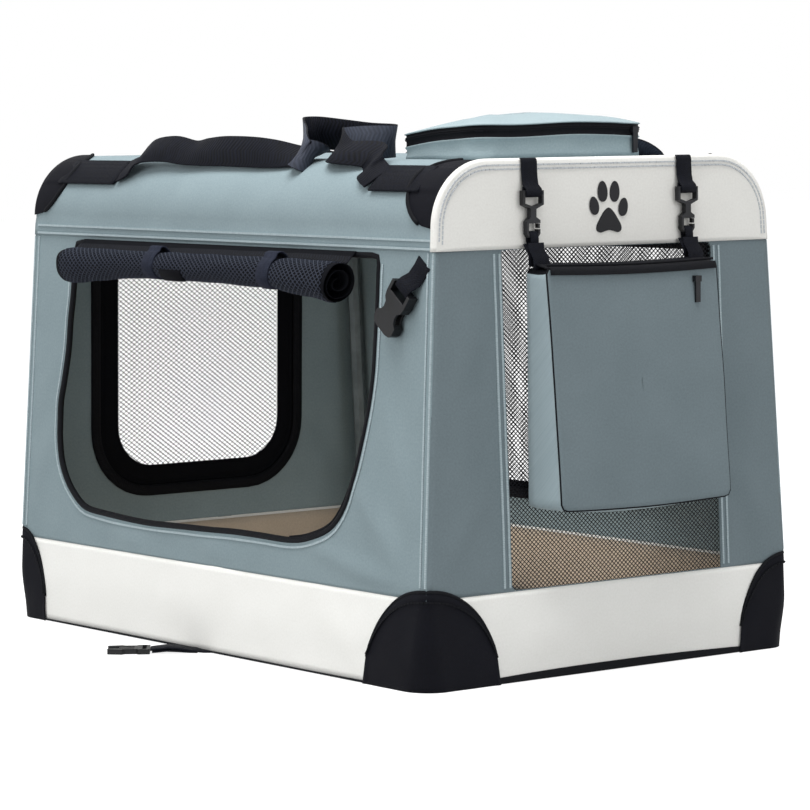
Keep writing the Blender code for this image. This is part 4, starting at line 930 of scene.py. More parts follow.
def mesh_door(side, hole, inner):
    """A zipped door: a black border with its zip coil and piping, and the net inside it."""
    node = f"{side}_door"
    outer = offset_loop(hole, -0.0015)
    count = len(outer)
    centre = sum(inner, Vector((0, 0))) / len(inner)
    edge_in = [ray_to_outline(centre, point, inner) for point in outer]

    def border(u, v):
        k = round(u * count) % count
        spot = outer[k].lerp(edge_in[k], v)
        depth = (spot - outer[k]).length
        coil_rise = 0.0012 * math.exp(-((depth - 0.004) / 0.0022) ** 2)
        piping = 0.0014 * math.exp(-((depth - 0.011) / 0.0018) ** 2)
        return on_wall(side, spot.x, spot.y, -0.0004 + coil_rise + piping), (spot.x, spot.y)

    bm = bmesh.new()
    grid(bm, count, 18, border)
    face_out(bm, side)
    door = cloth_piece(f"{node}_cloth", bm, [black_cloth], node, [node], thickness=0.0007)

    xs, zs = [p.x for p in inner], [p.y for p in inner]
    wide, high = max(xs) - min(xs) + 0.006, max(zs) - min(zs) + 0.006
    mid_x, mid_z = (max(xs) + min(xs)) / 2, (max(zs) + min(zs)) / 2
    middle = Vector((mid_x, mid_z))
    reach = offset_loop(inner, 0.005)

    def within(x, y):
        spot = Vector((mid_x + x, mid_z + y))
        away = (spot - middle).length
        return away < 0.08 or (ray_to_outline(middle, spot, reach) - middle).length > away

    def hang(x, y):
        return on_wall(side, mid_x + x, mid_z + y, -0.0009 - net_billow(x, y, wide, high, 0.0010))

    bm = bmesh.new()
    net(bm, wide, high, hang, DOOR_CELL, keep=within)
    mesh = cloth_piece(f"{node}_net", bm, [net_thread], node)
    mesh_area = outline_area(inner)
    around = sum((p - q).length for p, q in zip(outer, outer[1:] + outer[:1])) / 2
    (outline_area(outer) - mesh_area) / around
    for piece in (door, mesh):
        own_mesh(piece)


rear_net = doorway_outline(half=0.1115, shift=0.0015, low=0.157, high=0.414, low_round=0.046,
                           high_round=0.004)
far_net = doorway_outline(half=0.258, shift=0.010, low=0.141, high=0.414, low_round=0.138, high_round=0.004)
mesh_door("rear", rear_hole, rear_net)
mesh_door("far", far_hole, far_net)


# ---------------------------------------------------------------- inner lining of the band
# Beige coated cloth that lines the white band. It is seen through the doorway and the window,
# above the pad and behind the hinge brackets.
LINING_LOW, LINING_HIGH, LINING_GAP = 0.0120, 0.0755, 0.0024
LINING_STEPS = 280
lining_cloth = cloth_finish("beige lining", linear(178, 163, 146), linear(198, 184, 166), pitch=620.0,
                            relief=0.0002, roughness=0.7, sheen=0.02)
lining_path = even_loop(rounded_box_path(1.0, 1.0, 0.06), LINING_STEPS)


def lining_place(u, v):
    """The lining's round, from a square of side 2 stretched to the band's own size."""
    z = LINING_LOW + LINING_HIGH * v
    spot = lining_path[round(u * LINING_STEPS) % LINING_STEPS]
    inset = LINING_GAP + 0.0003 * noise.noise(Vector((spot.x * 6, spot.y * 6, z * 30)))
    return (Vector((spot.x * (half_width(z) - inset), spot.y * (half_length(z) - inset), z)),
            (math.atan2(spot.y, spot.x) * 0.38, z))


bm = bmesh.new()
grid(bm, LINING_STEPS, 8, lining_place)
bmesh.ops.recalc_face_normals(bm, faces=bm.faces)
lining = cloth_piece("band_lining", bm, [lining_cloth], "base", thickness=0.0006)


# ---------------------------------------------------------------- front yoke
# The white panel above the window. Its upper edge is turned back over the roof's front edge and
# topstitched, and a plain paw print is pressed on it in black.
yoke_cloth = cloth_finish("white yoke cloth", linear(226, 224, 219), linear(236, 235, 230), pitch=650.0,
                          relief=0.0002, sheen=0.0)
thread_blue = cloth_finish("blue-grey thread", linear(176, 180, 184), linear(206, 209, 212), WEBBING_RIBS,
                           pitch=900.0, relief=0.0002)
YOKE_LOW, YOKE_ROLL = 0.4244, 0.0038
YOKE_STEPS = 120
ROLL_SHARE = 0.25                               # the part of the panel's rows that is its turned edge
top_edge = even(arch(-0.0026, YOKE_LOW, steps=16), YOKE_STEPS)


def yoke_place(u, v):
    """The panel, from its rolled upper edge down to the seam over the window."""
    k = round(u * YOKE_STEPS)
    rim = top_edge[k]
    run = (top_edge[min(k + 1, YOKE_STEPS)] - top_edge[max(k - 1, 0)]).normalized()
    inward = Vector((-run.y, run.x))
    if inward.dot(Vector((0, 0.43)) - rim) < 0:
        inward = -inward
    if v < ROLL_SHARE:
        turn = (1 - v / ROLL_SHARE) * math.pi * 0.85
        spot = rim + inward * YOKE_ROLL * (1 - math.sin(turn))
        out = 0.0012 - YOKE_ROLL * (1 - math.cos(turn))
    else:
        start = rim + inward * YOKE_ROLL
        start.y = max(start.y, YOKE_LOW)
        spot = start.lerp(Vector((start.x, YOKE_LOW)), (v - ROLL_SHARE) / (1 - ROLL_SHARE))
        out = 0.0012 + 0.0007 * noise.noise(Vector((spot.x * 12, spot.y * 12, 2.2)))
    spot.y = max(spot.y, YOKE_LOW)
    return on_wall("front", spot.x, spot.y, out), (spot.x, spot.y)


bm = bmesh.new()
grid(bm, YOKE_STEPS, 26, yoke_place)
bmesh.ops.recalc_face_normals(bm, faces=bm.faces)
for inset in (0.0040, 0.0080):
    row = even(arch(inset, 0.4300, steps=16), 140)
    stitches(bm, [on_wall("front", p.x, p.y, 0.0013) for p in row], wall_out("front"))
front_yoke = cloth_piece("front_yoke_cloth", bm, [yoke_cloth, thread_blue], "roof", ["front_yoke"],
                         thickness=0.0010)
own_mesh(front_yoke)

# The paw print: a pad and four leaning ovals (x, height, half width, half length, lean)
PRINT_LIFT = 0.0021
paw_ink = cloth_finish("paw ink", linear(14, 14, 17), linear(22, 22, 26), pitch=650.0, relief=0.0001,
                       roughness=0.7, sheen=0.0)
PAW_PAD = [(0.0017, 0.4618), (0.0078, 0.4580), (0.0130, 0.4515), (0.0176, 0.4448), (0.0182, 0.4398),
           (0.0140, 0.4371), (0.0080, 0.4384), (0.0022, 0.4395), (-0.0036, 0.4385), (-0.0094, 0.4372),
           (-0.0144, 0.4396), (-0.0142, 0.4446), (-0.0100, 0.4512), (-0.0046, 0.4580)]
TOES = [(-0.0175, 0.4640, 0.0060, 0.0092, 12), (-0.0062, 0.4780, 0.0064, 0.0104, 3),
        (0.0101, 0.4776, 0.0064, 0.0104, -3), (0.0208, 0.4620, 0.0060, 0.0092, -12)]
shapes = [smooth_loop(PAW_PAD, 48)]
for x, z, wide, tall, lean in TOES:
    lean = math.radians(lean)
    turns = [math.tau * k / 24 for k in range(24)]
    oval = [(wide * (1 - 0.10 * math.sin(t)) * math.cos(t), tall * math.sin(t)) for t in turns]
    shapes.append([Vector((x + a * math.cos(lean) - b * math.sin(lean),
                           z + a * math.sin(lean) + b * math.cos(lean))) for a, b in oval])
bm = bmesh.new()
layer = cloth_layer(bm)
for shape in shapes:
    face = bm.faces.new([bm.verts.new(on_wall("front", p.x, p.y, PRINT_LIFT)) for p in shape])
    for loop, p in zip(face.loops, shape):
        loop[layer].uv = p
face_out(bm, "front")
paw = cloth_piece("paw_print", bm, [paw_ink], "roof", thickness=0.0005)
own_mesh(paw)


# ---------------------------------------------------------------- roof
# One grey cloth over the rails and down to the side seams, where its hem is turned and
# topstitched in two rows. It sags a little between the rails.
HEM = 0.0118
HEM_ROWS = (0.0026, 0.0108)                     # how far from the hem's edge its stitches run
ROOF_LOW = 0.4242
ROOF_LONG = 0.704
STRAIGHT = BEND_Z - ROOF_LOW                    # the upright strip below the rounded edge
QUARTER = math.pi / 2 * TOP_ROUND
ROOF_GIRTH = 2 * (STRAIGHT + QUARTER + BEND_X)


def roof_section(s):
    """The roof's section: s runs along it in metres from the near hem to the far one."""
    flip = -1
    if s > STRAIGHT + QUARTER + BEND_X:
        s, flip = 2 * (STRAIGHT + QUARTER + BEND_X) - s, 1
    if s < STRAIGHT:
        z = ROOF_LOW + s
        place, facing = (half_width(z), z), (1.0, SIDE_LEAN)
    elif s < STRAIGHT + QUARTER:
        turn = (s - STRAIGHT) / TOP_ROUND
        facing = (math.cos(turn), math.sin(turn))
        place = (BEND_X + TOP_ROUND * facing[0], BEND_Z + TOP_ROUND * facing[1])
    else:
        place, facing = (BEND_X - (s - STRAIGHT - QUARTER), SHELL_HEIGHT), (0.0, 1.0)
    return Vector((flip * place[0], 0, place[1])), Vector((flip * facing[0], 0, facing[1])).normalized()


def roof_stand(s, y):
    """How far the roof stands off its plain form."""
    edge = min(s, ROOF_GIRTH - s)
    end = max(0.0, 1 - (abs(y) / 0.353) ** 10)
    hem = 0.0010 * (1 if edge < HEM else math.exp(-((edge - HEM) / 0.002) ** 2))
    flat = max(0.0, min(1.0, (edge - 0.14) / 0.03))
    sag = -0.0016 * flat * end
    wave = 0.0011 * noise.noise(Vector((s * 8, y * 6, 4.4))) * end * min(1.0, edge / 0.02)
    return hem + sag + wave


def on_roof(s, y, out=0.0):
    """A place on the roof's cloth."""
    place, facing = roof_section(s)
    along = y * half_length(place.z) / (ROOF_LONG / 2)
    return place + Vector((0, along, 0)) + facing * (roof_stand(s, y) + out)


def roof_place(u, v):
    """The roof's cloth: u runs from the front to the rear, v over it from hem to hem."""
    s, y = v * ROOF_GIRTH, (u - 0.5) * ROOF_LONG
    return on_roof(s, y), (y, s)


bm = bmesh.new()
grid(bm, 110, 90, roof_place)
bmesh.ops.recalc_face_normals(bm, faces=bm.faces)
for s in HEM_ROWS:
    for at in (s, ROOF_GIRTH - s):
        row = [on_roof(at, -0.348 + 0.696 * k / 80, 0.0002) for k in range(81)]
        stitches(bm, row, roof_section(at)[1])
roof = cloth_piece("roof_fabric", bm, [grey_cloth, thread_grey], "roof", ["roof_cloth"], thickness=COATED)
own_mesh(roof)


# ---------------------------------------------------------------- top corner patches and webbing
# Black nylon patches over the roof's corners, edged with a thick piping. A band of webbing comes
# out from under each one and runs on as the carry handle.
HANDLE_WIDTH, HANDLE_THICK = 0.034, 0.0019
PATCH_ARC = 88                                  # how much of the roof's rounded edge a patch covers
HANDLE_TURN = math.radians(47)                  # where on the rounded edge the handles are sewn
webbing = cloth_finish("black webbing", linear(5, 6, 10), linear(20, 22, 31), WEBBING_RIBS, pitch=420.0,
                       relief=0.0006, roughness=0.66, sheen=0.0, shine=0.08)
for end, sy, patch_edge, strip in (("front", -1, 0.3486, 0.240), ("rear", 1, 0.3536, 0.210)):
    for side, flip in (("near", False), ("far", True)):
        # The far front patch is the only one that is cut to a narrow dome
        dome_power = 0.85 if (end, side) == ("front", "far") else 0.45

        def top_place(u, v, lift=0.0006):
            """u runs up round the roof's edge, v from the roof's end to the patch's rim."""
            angle = 1 + PATCH_ARC * u
            arc = min(1.0, max(0.0, (angle - 1) / 90))
            dome = 0.050 * math.sin(math.pi * arc) ** dome_power
            s = STRAIGHT + math.radians(angle) * TOP_ROUND
            over_webbing = 0.0012 if 0.35 < u < 0.69 else 0.0
            puff = 0.0012 * math.sin(math.pi * v) * math.sin(math.pi * u) + over_webbing
            y = sy * (patch_edge - dome * v)
            return on_roof(ROOF_GIRTH - s if flip else s, y, lift + puff * min(1.0, v * 5)), (y, s)

        bm = bmesh.new()
        grid(bm, 40, 14, top_place)
        s_mid = STRAIGHT + HANDLE_TURN * TOP_ROUND
        s_mid = ROOF_GIRTH - s_mid if flip else s_mid
        run = [on_roof(s_mid, sy * (0.318 - (0.318 - strip) * k / 16), 0.0006) for k in range(17)]
        sweep(bm, run, roof_section(s_mid)[1], flat_band(HANDLE_WIDTH, 0.0016), slot=1)
        rim = [top_place(k / 40, 1.0, 0.0014)[0] for k in range(2, 39)]
        rim_outs = [(p - Vector((p.x * 0.72, p.y, 0.43))).normalized() for p in rim]
        sweep(bm, rim, rim_outs, round_bead(0.0017, flat=0.8), slot=2)
        bmesh.ops.recalc_face_normals(bm, faces=bm.faces)
        patch = cloth_piece(f"top_patch_{end}_{side}_cloth", bm, [patch_cloth, webbing, binding_cloth],
                            "roof", [f"top_patch_{end}_{side}"], thickness=0.0008, outward=True)
        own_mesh(patch)


# ---------------------------------------------------------------- carry handles
# Two loops of stiff ribbed webbing. Each leaves the roof's edge flat, rises, turns on its edge
# where it has been pinched, and comes down again at its front end. The near one's slack is
# thrown inwards over the roof.
# The stations are: along, inwards, lift and the webbing's slope, from its rear end
HANDLE_STATIONS = [
    (0.0, 0.0, 0.0, 43), (-0.018, -0.0025, 0.0072, 43), (-0.032, -0.0050, 0.0185, 44),
    (-0.048, -0.0070, 0.0245, 48), (-0.078, -0.0100, 0.0260, 52), (-0.108, -0.0120, 0.0225, 46),
    (-0.135, -0.0115, 0.0235, 57), (-0.170, -0.0110, 0.0245, 66), (-0.215, -0.0115, 0.0240, 66),
    (-0.248, -0.0140, 0.0225, 56), (-0.280, -0.0200, 0.0200, 38), (-0.312, -0.0270, 0.0190, 24),
    (-0.345, -0.0350, 0.0200, 14), (-0.3724, -0.0380, 0.0225, 14), (-0.3954, -0.0330, 0.0250, 28),
    (-0.4144, -0.0220, 0.0215, 48), (-0.4324, -0.0050, 0.0085, 46), (-0.4504, 0.0, 0.0, 43)]
HANDLE_REAR = 0.2103
# The thrown loop, a flat S before the near one's front end: place, then the webbing's spread
THROWN = [(-0.1900, -0.1010, 0.5160, 0.60, -0.20, 0.78), (-0.1640, -0.0700, 0.5270, 0.30, -0.10, 0.95),
          (-0.1330, -0.0300, 0.5330, 0.05, 0.0, 1.0), (-0.1080, -0.0020, 0.5360, 0.0, 0.10, 1.0),
          (-0.0940, -0.0080, 0.5360, -0.10, 0.10, 1.0), (-0.0860, -0.0450, 0.5330, -0.20, 0.0, 1.0),
          (-0.0850, -0.0880, 0.5300, -0.25, 0.0, 1.0), (-0.0890, -0.1260, 0.5285, -0.10, -0.10, 1.0),
          (-0.1040, -0.1400, 0.5275, 0.10, -0.20, 1.0), (-0.1330, -0.1290, 0.5270, 0.30, 0.10, 1.0),
          (-0.1600, -0.1300, 0.5245, 0.60, 0.10, 0.80), (-0.1800, -0.1560, 0.5180, 0.75, 0.15, 0.65)]
# The webbing's underside is painted paler than its face: a painted sheen
webbing_painted_sheen = cloth_finish("webbing underside with painted sheen", linear(40, 44, 55), linear(58, 63, 76), WEBBING_RIBS,
                            pitch=420.0, relief=0.0005, roughness=0.7, sheen=0.0)
handle_x = BEND_X + (TOP_ROUND + 0.0012) * math.cos(HANDLE_TURN)
handle_z = BEND_Z + (TOP_ROUND + 0.0012) * math.sin(HANDLE_TURN)
section = flat_band(HANDLE_WIDTH, HANDLE_THICK)
for side, sx, steps in (("near", -1, 220), ("far", 1, 136)):
    stations = []
    for y, inward, lift, slope in HANDLE_STATIONS:
        slope = math.radians(slope)
        stations.append((sx * (handle_x + inward), HANDLE_REAR + y, handle_z + lift,
                         -sx * math.cos(slope), 0, math.sin(slope)))
    if side == "near":
        stations = stations[:12] + THROWN + stations[-3:]

    def handle_at(t):
        """Centre and spread of the webbing at t, from the rear end to the front one."""
        last = len(stations) - 1
        k = min(int(t * last), last - 1)
        around = [stations[min(max(k + d, 0), last)] for d in (-1, 0, 1, 2)]
        mixed = [curve_between(*four, t * last - k) for four in zip(*around)]
        return Vector(mixed[:3]), Vector(mixed[3:]).normalized()

    def handle_place(u, v):
        """The webbing's surface, round its section at each step along it."""
        t = round(u * steps) / steps
        centre, spread = handle_at(t)
        tangent = (handle_at(min(1.0, t + 0.004))[0] - handle_at(max(0.0, t - 0.004))[0]).normalized()
        spread = (spread - tangent * spread.dot(tangent)).normalized()
        out = spread.cross(tangent) * sx
        j = round(v * len(section))
        a, b = section[j % len(section)]
        curl = 0.0014 * (2 * a / HANDLE_WIDTH) ** 2 * math.sin(math.pi * t)
        return centre + spread * a + out * (b - curl), ((0.5 - t) * 0.47, j * 0.004)

    bm = bmesh.new()
    made = grid(bm, steps, len(section), handle_place, lambda u, v: 1 if 0.69 < v < 0.91 else 0)
    rims = {rim for vert in made for rim in vert.link_edges if rim.is_boundary}
    bmesh.ops.holes_fill(bm, edges=list(rims), sides=0)
    bmesh.ops.recalc_face_normals(bm, faces=bm.faces)
    handle = cloth_piece(f"handle_{side}_webbing", bm, [webbing, webbing_painted_sheen], f"handle_{side}",
                         [f"handle_{side}"])
    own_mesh(handle)


# ---------------------------------------------------------------- roof pocket
# A soft grey pouch with a zip round its sides below the lid. It is unpadded, so its lid crowns
# and its walls draw in and crumple at the corners.
POCKET_HALF = (0.1130, 0.0655)
POCKET_MIDDLE = -0.2255
POCKET_LOW = 0.5104
POCKET_STEPS = 120
# Dents in its walls: place, width and depth
POCKET_DENTS = ((-0.104, -0.060, 0.010, 0.0032), (-0.080, -0.0655, 0.008, 0.0020),
                (0.030, -0.0655, 0.020, 0.0016), (-0.113, -0.020, 0.016, 0.0016))
# The pouch's grey is painted paler than the walls' grey: painted light from the lamp overhead
pocket_painted_light_cloth = cloth_finish("pocket cloth with painted light", linear(140, 156, 161), linear(156, 172, 176), pitch=620.0)
# Rows from its foot to the lid's middle: inset, height, and 1 where it is the zip's tape
POCKET_ROWS = [(0.0000, 0.0000, 0), (0.0004, 0.0060, 0), (0.0012, 0.0130, 0), (0.0010, 0.0195, 0),
               (0.0000, 0.0212, 0), (-0.0006, 0.0222, 0), (0.0004, 0.0228, 1), (0.0006, 0.0245, 1),
               (0.0006, 0.0282, 1), (-0.0004, 0.0290, 1), (-0.0007, 0.0298, 1), (0.0004, 0.0303, 1),
               (-0.0007, 0.0308, 1), (-0.0004, 0.0316, 1), (0.0006, 0.0324, 1), (0.0006, 0.0338, 1),
               (0.0002, 0.0346, 1), (-0.0008, 0.0348, 0), (-0.0010, 0.0356, 0), (0.0006, 0.0364, 0),
               (0.0050, 0.0378, 0), (0.0120, 0.0398, 0), (0.0200, 0.0416, 0), (0.0300, 0.0432, 0),
               (0.0460, 0.0444, 0), (0.0655, 0.0448, 0)]
pocket_path = even_loop(rounded_box_path(*POCKET_HALF, 0.024, spacing=0.008), POCKET_STEPS)


def pocket_place(u, v):
    """The pouch's surface: sagging, waved along its zip, dented, and slumped at its near corner."""
    inset, up, _ = POCKET_ROWS[round(v * (len(POCKET_ROWS) - 1))]
    point = pocket_path[round(u * POCKET_STEPS) % POCKET_STEPS]
    wide = max(POCKET_HALF[0] - inset, 0.0475 * (1 - max(0.0, 1 - inset / POCKET_HALF[1])) + 0.001)
    deep = max(POCKET_HALF[1] - inset, 0.0)
    rise = min(1.0, up / 0.012)
    sag = 0.0018 * noise.noise(Vector((point.x * 16, point.y * 16, 1.0))) * rise
    wave = 0.0010 * math.sin(point.x * 34 + 1.0) * (1 if up > 0.02 else 0.4) * rise
    slump = math.exp(-((point.x + 0.110) / 0.060) ** 2 - ((point.y - 0.0655) / 0.070) ** 2)
    sag -= 0.0110 * slump * min(1.0, up / 0.018)
    dent = 0.0
    for cx, cy, width, depth in POCKET_DENTS:
        close = math.exp(-((point.x - cx) ** 2 + (point.y - cy) ** 2) / width ** 2)
        dent += depth * close * math.sin(math.pi * min(1.0, up / 0.0215))
    inward = Vector((point.x, point.y)).normalized() * dent
    return (Vector((point.x * wide / POCKET_HALF[0] - inward.x,
                    POCKET_MIDDLE + point.y * deep / POCKET_HALF[1] - inward.y,
                    POCKET_LOW + up + sag + wave)), (point.x + point.y, up + inset))


def pocket_slot(u, v):
    """Zip tape between the rows that are marked for it, and cloth elsewhere."""
    row = min(int(v * (len(POCKET_ROWS) - 1)), len(POCKET_ROWS) - 2)
    return 1 if POCKET_ROWS[row][2] and POCKET_ROWS[row + 1][2] else 0


bm = bmesh.new()
grid(bm, POCKET_STEPS, len(POCKET_ROWS) - 1, pocket_place, pocket_slot)
bmesh.ops.recalc_face_normals(bm, faces=bm.faces)
cloth_piece("roof_pocket", bm, [pocket_painted_light_cloth, zip_tape], "roof", ["top_pocket"], thickness=0.0008)


# ---------------------------------------------------------------- rolled side door
# The near doorway's mesh door, unzipped and rolled up to its top seam. Its turns show at both
# ends, and two flat ties hold it.
ROLL_R, ROLL_Z = 0.0185, 0.3950
ROLL_FRONT, ROLL_REAR = -0.2330, 0.2530
ROLL_X = -(half_width(ROLL_Z) + 0.0215)
ROLL_TURNS, ROLL_END = 2.85, 62                 # its turns, and the degrees at which it leaves the roll
TIE_PLACES = (-0.125, 0.080)
TAB_PLACE, TAB_RADIUS = 0.037, 0.0152
# Along the roll: place, radius and rise
ROLL_KNOTS = [(-0.2330, 0.0188, -0.0032), (-0.1900, 0.0172, -0.0006), (-0.1200, 0.0150, 0.0028),
              (-0.0200, 0.0142, 0.0040), (0.1300, 0.0140, 0.0040), (0.1950, 0.0164, 0.0012),
              (0.2300, 0.0174, 0.0), (0.2720, 0.0160, -0.0006)]
roll_mesh = cloth_finish("rolled mesh", linear(6, 6, 9), linear(24, 26, 33), WEBBING_RIBS, pitch=230.0,
                         relief=0.0009, roughness=0.75, sheen=0.0, shine=0.1)
# The net's threads on the outer turn are paler than the door's black net: painted glints
roll_painted_glints = cloth_finish("net thread on the roll with painted glints", linear(34, 38, 48), linear(52, 57, 70), WEBBING_RIBS,
                           pitch=900.0, relief=0.0002, sheen=0.0, shine=0.2)
tie_cloth = cloth_finish("tie webbing", linear(26, 29, 39), linear(44, 48, 61), WEBBING_RIBS, pitch=520.0,
                         sheen=0.0, shine=0.08)


def roll_knot(y, column):
    """The roll's radius (column 1) or rise (column 2) at a place along it."""
    for a, b in zip(ROLL_KNOTS, ROLL_KNOTS[1:]):
        if y <= b[0]:
            share = min(1.0, max(0.0, (y - a[0]) / (b[0] - a[0])))
            return a[column] + (b[column] - a[column]) * share * share * (3 - 2 * share)
    return ROLL_KNOTS[-1][column]


def roll_radius(y, turn):
    """The roll's radius: drawn in under its ties, lumpy between."""
    radius = roll_knot(y, 1)
    for tie in TIE_PLACES:
        radius -= 0.0016 * math.exp(-((y - tie) / 0.014) ** 2)
    radius += 0.0012 * noise.noise(Vector((y * 18, math.cos(turn) * 1.2, math.sin(turn) * 1.2)))
    return radius * (1 + 0.05 * math.cos(turn * 2 + y * 10))


def on_roll(y, turn, radius, lift=0.0):
    """A place in or on the roll, at an angle round its axis."""
    centre = Vector((ROLL_X, y, ROLL_Z + roll_knot(y, 2)))
    return centre + Vector((radius * math.cos(turn), 0, radius * math.sin(turn) + lift))


def roll_along(u):
    """How far back along the wall a share of the roll lies."""
    return ROLL_FRONT + (ROLL_REAR - ROLL_FRONT) * u


def roll_place(u, v):
    """The spiral, from its heart outwards, its turns a little uneven at the ends."""
    y = roll_along(u) + 0.0030 * math.sin(v * 17) * (1 if u in (0, 1) else 0)
    turn = math.radians(ROLL_END) + math.tau * ROLL_TURNS * (v - 1)
    radius = roll_radius(y, turn) * (0.24 + 0.76 * min(1.0, v / 0.66) ** 0.9)
    return on_roll(y, turn, radius), (y, turn * ROLL_R)


def tail_place(u, v):
    """The door's upper edge, from the roll to its seam on the wall."""
    y, turn = roll_along(u), math.radians(ROLL_END)
    return on_roll(y, turn, roll_radius(y, turn)).lerp(on_wall("near", y, 0.4215, 0.0012), v), (y, v * 0.012)


def roll_net(x, y):
    """The door's net on the outer turn."""
    along, turn = 0.010 + x, math.pi + y / 0.0165
    return on_roll(along, turn, roll_radius(along, turn) + 0.0009)


def from_axis(run, y):
    """Which way is away from the roll's axis along a run round it."""
    return [(place - on_roll(y, 0, 0)).normalized() for place in run]


bm = bmesh.new()
grid(bm, 110, 104, roll_place, lambda u, v: 1 if v < 0.04 or u < 0.02 or u > 0.98 else 0)
grid(bm, 110, 5, tail_place, lambda u, v: 1 if v > 0.7 else 0)
net(bm, 0.470, 0.096, roll_net, DOOR_CELL, 2)
tab = [on_roll(TAB_PLACE, math.radians(190 + 50 * k / 6), TAB_RADIUS) for k in range(7)]
sweep(bm, tab, from_axis(tab, TAB_PLACE), flat_band(0.0380, 0.0012), slot=1)
door_roll = cloth_piece("rolled_door", bm, [roll_mesh, black_cloth, roll_painted_glints], "near_wall_trim",
                        ["near_door_roll"], thickness=0.0006)
for name, tie in zip(("roll_tie_front", "roll_tie_rear"), TIE_PLACES):
    ring = []
    for turn in (math.tau * k / 40 for k in range(40)):
        knot = 0.006 * max(0.0, math.sin(turn)) ** 3 * (1 if math.cos(turn) > -0.2 else 0.4)
        ring.append(on_roll(tie, turn, roll_radius(tie, turn) + 0.0012, knot))
    bm = bmesh.new()
    sweep(bm, ring, from_axis(ring, tie), flat_band(0.0205, 0.0018), closed=True)
    bmesh.ops.recalc_face_normals(bm, faces=bm.faces)
    cloth_piece(name + "_band", bm, [tie_cloth], "near_wall_trim", [name])


# ---------------------------------------------------------------- floor pad
# A thin fleece-topped pad, lumpy with its filling, that lies on the board and is cut round at
# its corners. It shows through the doorway and the window.
PAD_HALF = (0.2205, 0.3412)
PAD_STEPS = 180
PAD_PAINTED_LIGHT = 0.12                              # painted light: the pad glows a little, so that it looks lit inside the carrier
# Rows from its underside to its middle: inset and height
PAD_ROWS = [(0.20, 0.0068), (0.012, 0.0068), (0.004, 0.0072), (0.0006, 0.0110), (0.0, 0.0140),
            (0.0012, 0.0172), (0.0060, 0.0196), (0.016, 0.0208), (0.030, 0.0214), (0.050, 0.0222),
            (0.075, 0.0228), (0.100, 0.0232), (0.130, 0.0234), (0.160, 0.0235), (0.190, 0.0235),
            (0.2204, 0.0235)]
FLEECE_PILE, given, made = surface_group("fleece pile")
curl = speckle(FLEECE_PILE, given["Place"], 260.0, 4.0)
clump = speckle(FLEECE_PILE, given["Place"], 30.0, 2.0)
FLEECE_PILE.links.new(curl, made["Height"])
FLEECE_PILE.links.new(mingle(FLEECE_PILE, curl, 0.6, clump, 0.4), made["Shade"])
fleece, tree, shader = new_finish("fleece")
pile = laid_on(tree, FLEECE_PILE, add(tree, "TexCoord").outputs["Object"])
cream = two_shades(tree, shader, pile["Shade"], linear(232, 216, 196), linear(250, 240, 226), 0.3, 0.7)
stand_up(tree, shader, pile["Height"], 0.6, 0.0012)
shader.inputs["Roughness"].default_value = 0.95
shader.inputs["Sheen Weight"].default_value = 0.4
# Painted light: the pad gives out a faint glow in its own cream, though it is no lamp
tree.links.new(cream, shader.inputs["Emission Color"])
shader.inputs["Emission Strength"].default_value = PAD_PAINTED_LIGHT
pad_outline = even_loop(rounded_box_path(*PAD_HALF, 0.050, steps=8, spacing=0.012), PAD_STEPS)


def pad_place(u, v):
    """The pad's surface, drawn in towards its middle row by row."""
    inset, z = PAD_ROWS[round(v * (len(PAD_ROWS) - 1))]
    point = pad_outline[round(u * PAD_STEPS) % PAD_STEPS]
    x, y = [at * (max(half - inset, 0.0002) / half) for at, half in zip(point, PAD_HALF)]
    lump = 0.0006 * noise.noise(Vector((x * 20, y * 20, 0.5))) if z > 0.017 else 0.0
    return Vector((x, y, z + lump)), (x, y)


bm = bmesh.new()
grid(bm, PAD_STEPS, len(PAD_ROWS) - 1, pad_place)
rims = {rim for rim in bm.edges if rim.is_boundary}
bmesh.ops.holes_fill(bm, edges=list(rims), sides=0)
bmesh.ops.recalc_face_normals(bm, faces=bm.faces)
pad = cloth_piece("fleece_pad", bm, [fleece], "base", ["floor_pad"])


# ---------------------------------------------------------------- plastics and steel
# Satin nylon for the buckles, hooks, clips and brackets, powder-coated steel for the tubes, plain
# steel for the rivets and a black board. These nodes keep their own shapes.
FINE_GRAIN, given, made = surface_group("fine grain", Scale=900.0)
FINE_GRAIN.links.new(speckle(FINE_GRAIN, given["Place"], given["Scale"], 3.0), made["Height"])
FINE_GRAIN.links.new(speckle(FINE_GRAIN, given["Place"], 60.0, 2.0), made["Shade"])


def moulded(name, dark, light, roughness, grain_scale, metallic=0.0):
    """A moulded or coated finish: its grain stands up, and its shade is worn paler in places."""
    mat, tree, shader = new_finish(name)
    grain = laid_on(tree, FINE_GRAIN, add(tree, "TexCoord").outputs["Object"], grain_scale)
    two_shades(tree, shader, grain["Shade"], dark, light, 0.35, 0.68)
    stand_up(tree, shader, grain["Height"], 0.25, 0.0002)
    roughen(tree, shader, grain["Height"], roughness - 0.06, roughness + 0.08)
    shader.inputs["Metallic"].default_value = metallic
    shader.inputs["Specular IOR Level"].default_value = 0.3
    return mat


NODE_FINISHES = (
    (moulded("black nylon plastic", linear(6, 7, 9), linear(13, 14, 18), 0.42, 900.0),
     ("hinge_bracket", "rear_clip", "front_clip", "side_buckle", "male_buckle")),
    (moulded("hook plastic", linear(10, 11, 15), linear(22, 23, 29), 0.38, 700.0),
     ("snap_hook", "hook_gate", "bag_zip_slider", "pocket_zip_slider")),
    (moulded("grey powder coat", linear(96, 104, 106), linear(112, 120, 122), 0.42, 1200.0, 0.3),
     ("base_frame", "rear_hoop", "front_hoop", "roof_rail")),
    (moulded("rivet steel", linear(150, 152, 154), linear(186, 188, 190), 0.30, 800.0, 1.0), ("hinge_pin",)),
    (moulded("board", linear(30, 31, 34), linear(44, 45, 48), 0.7, 400.0), ("floor_board",)))
for name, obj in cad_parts.items():
    for finish, starts in NODE_FINISHES:
        if name.startswith(starts):
            for slot in obj.material_slots:
                slot.material = finish


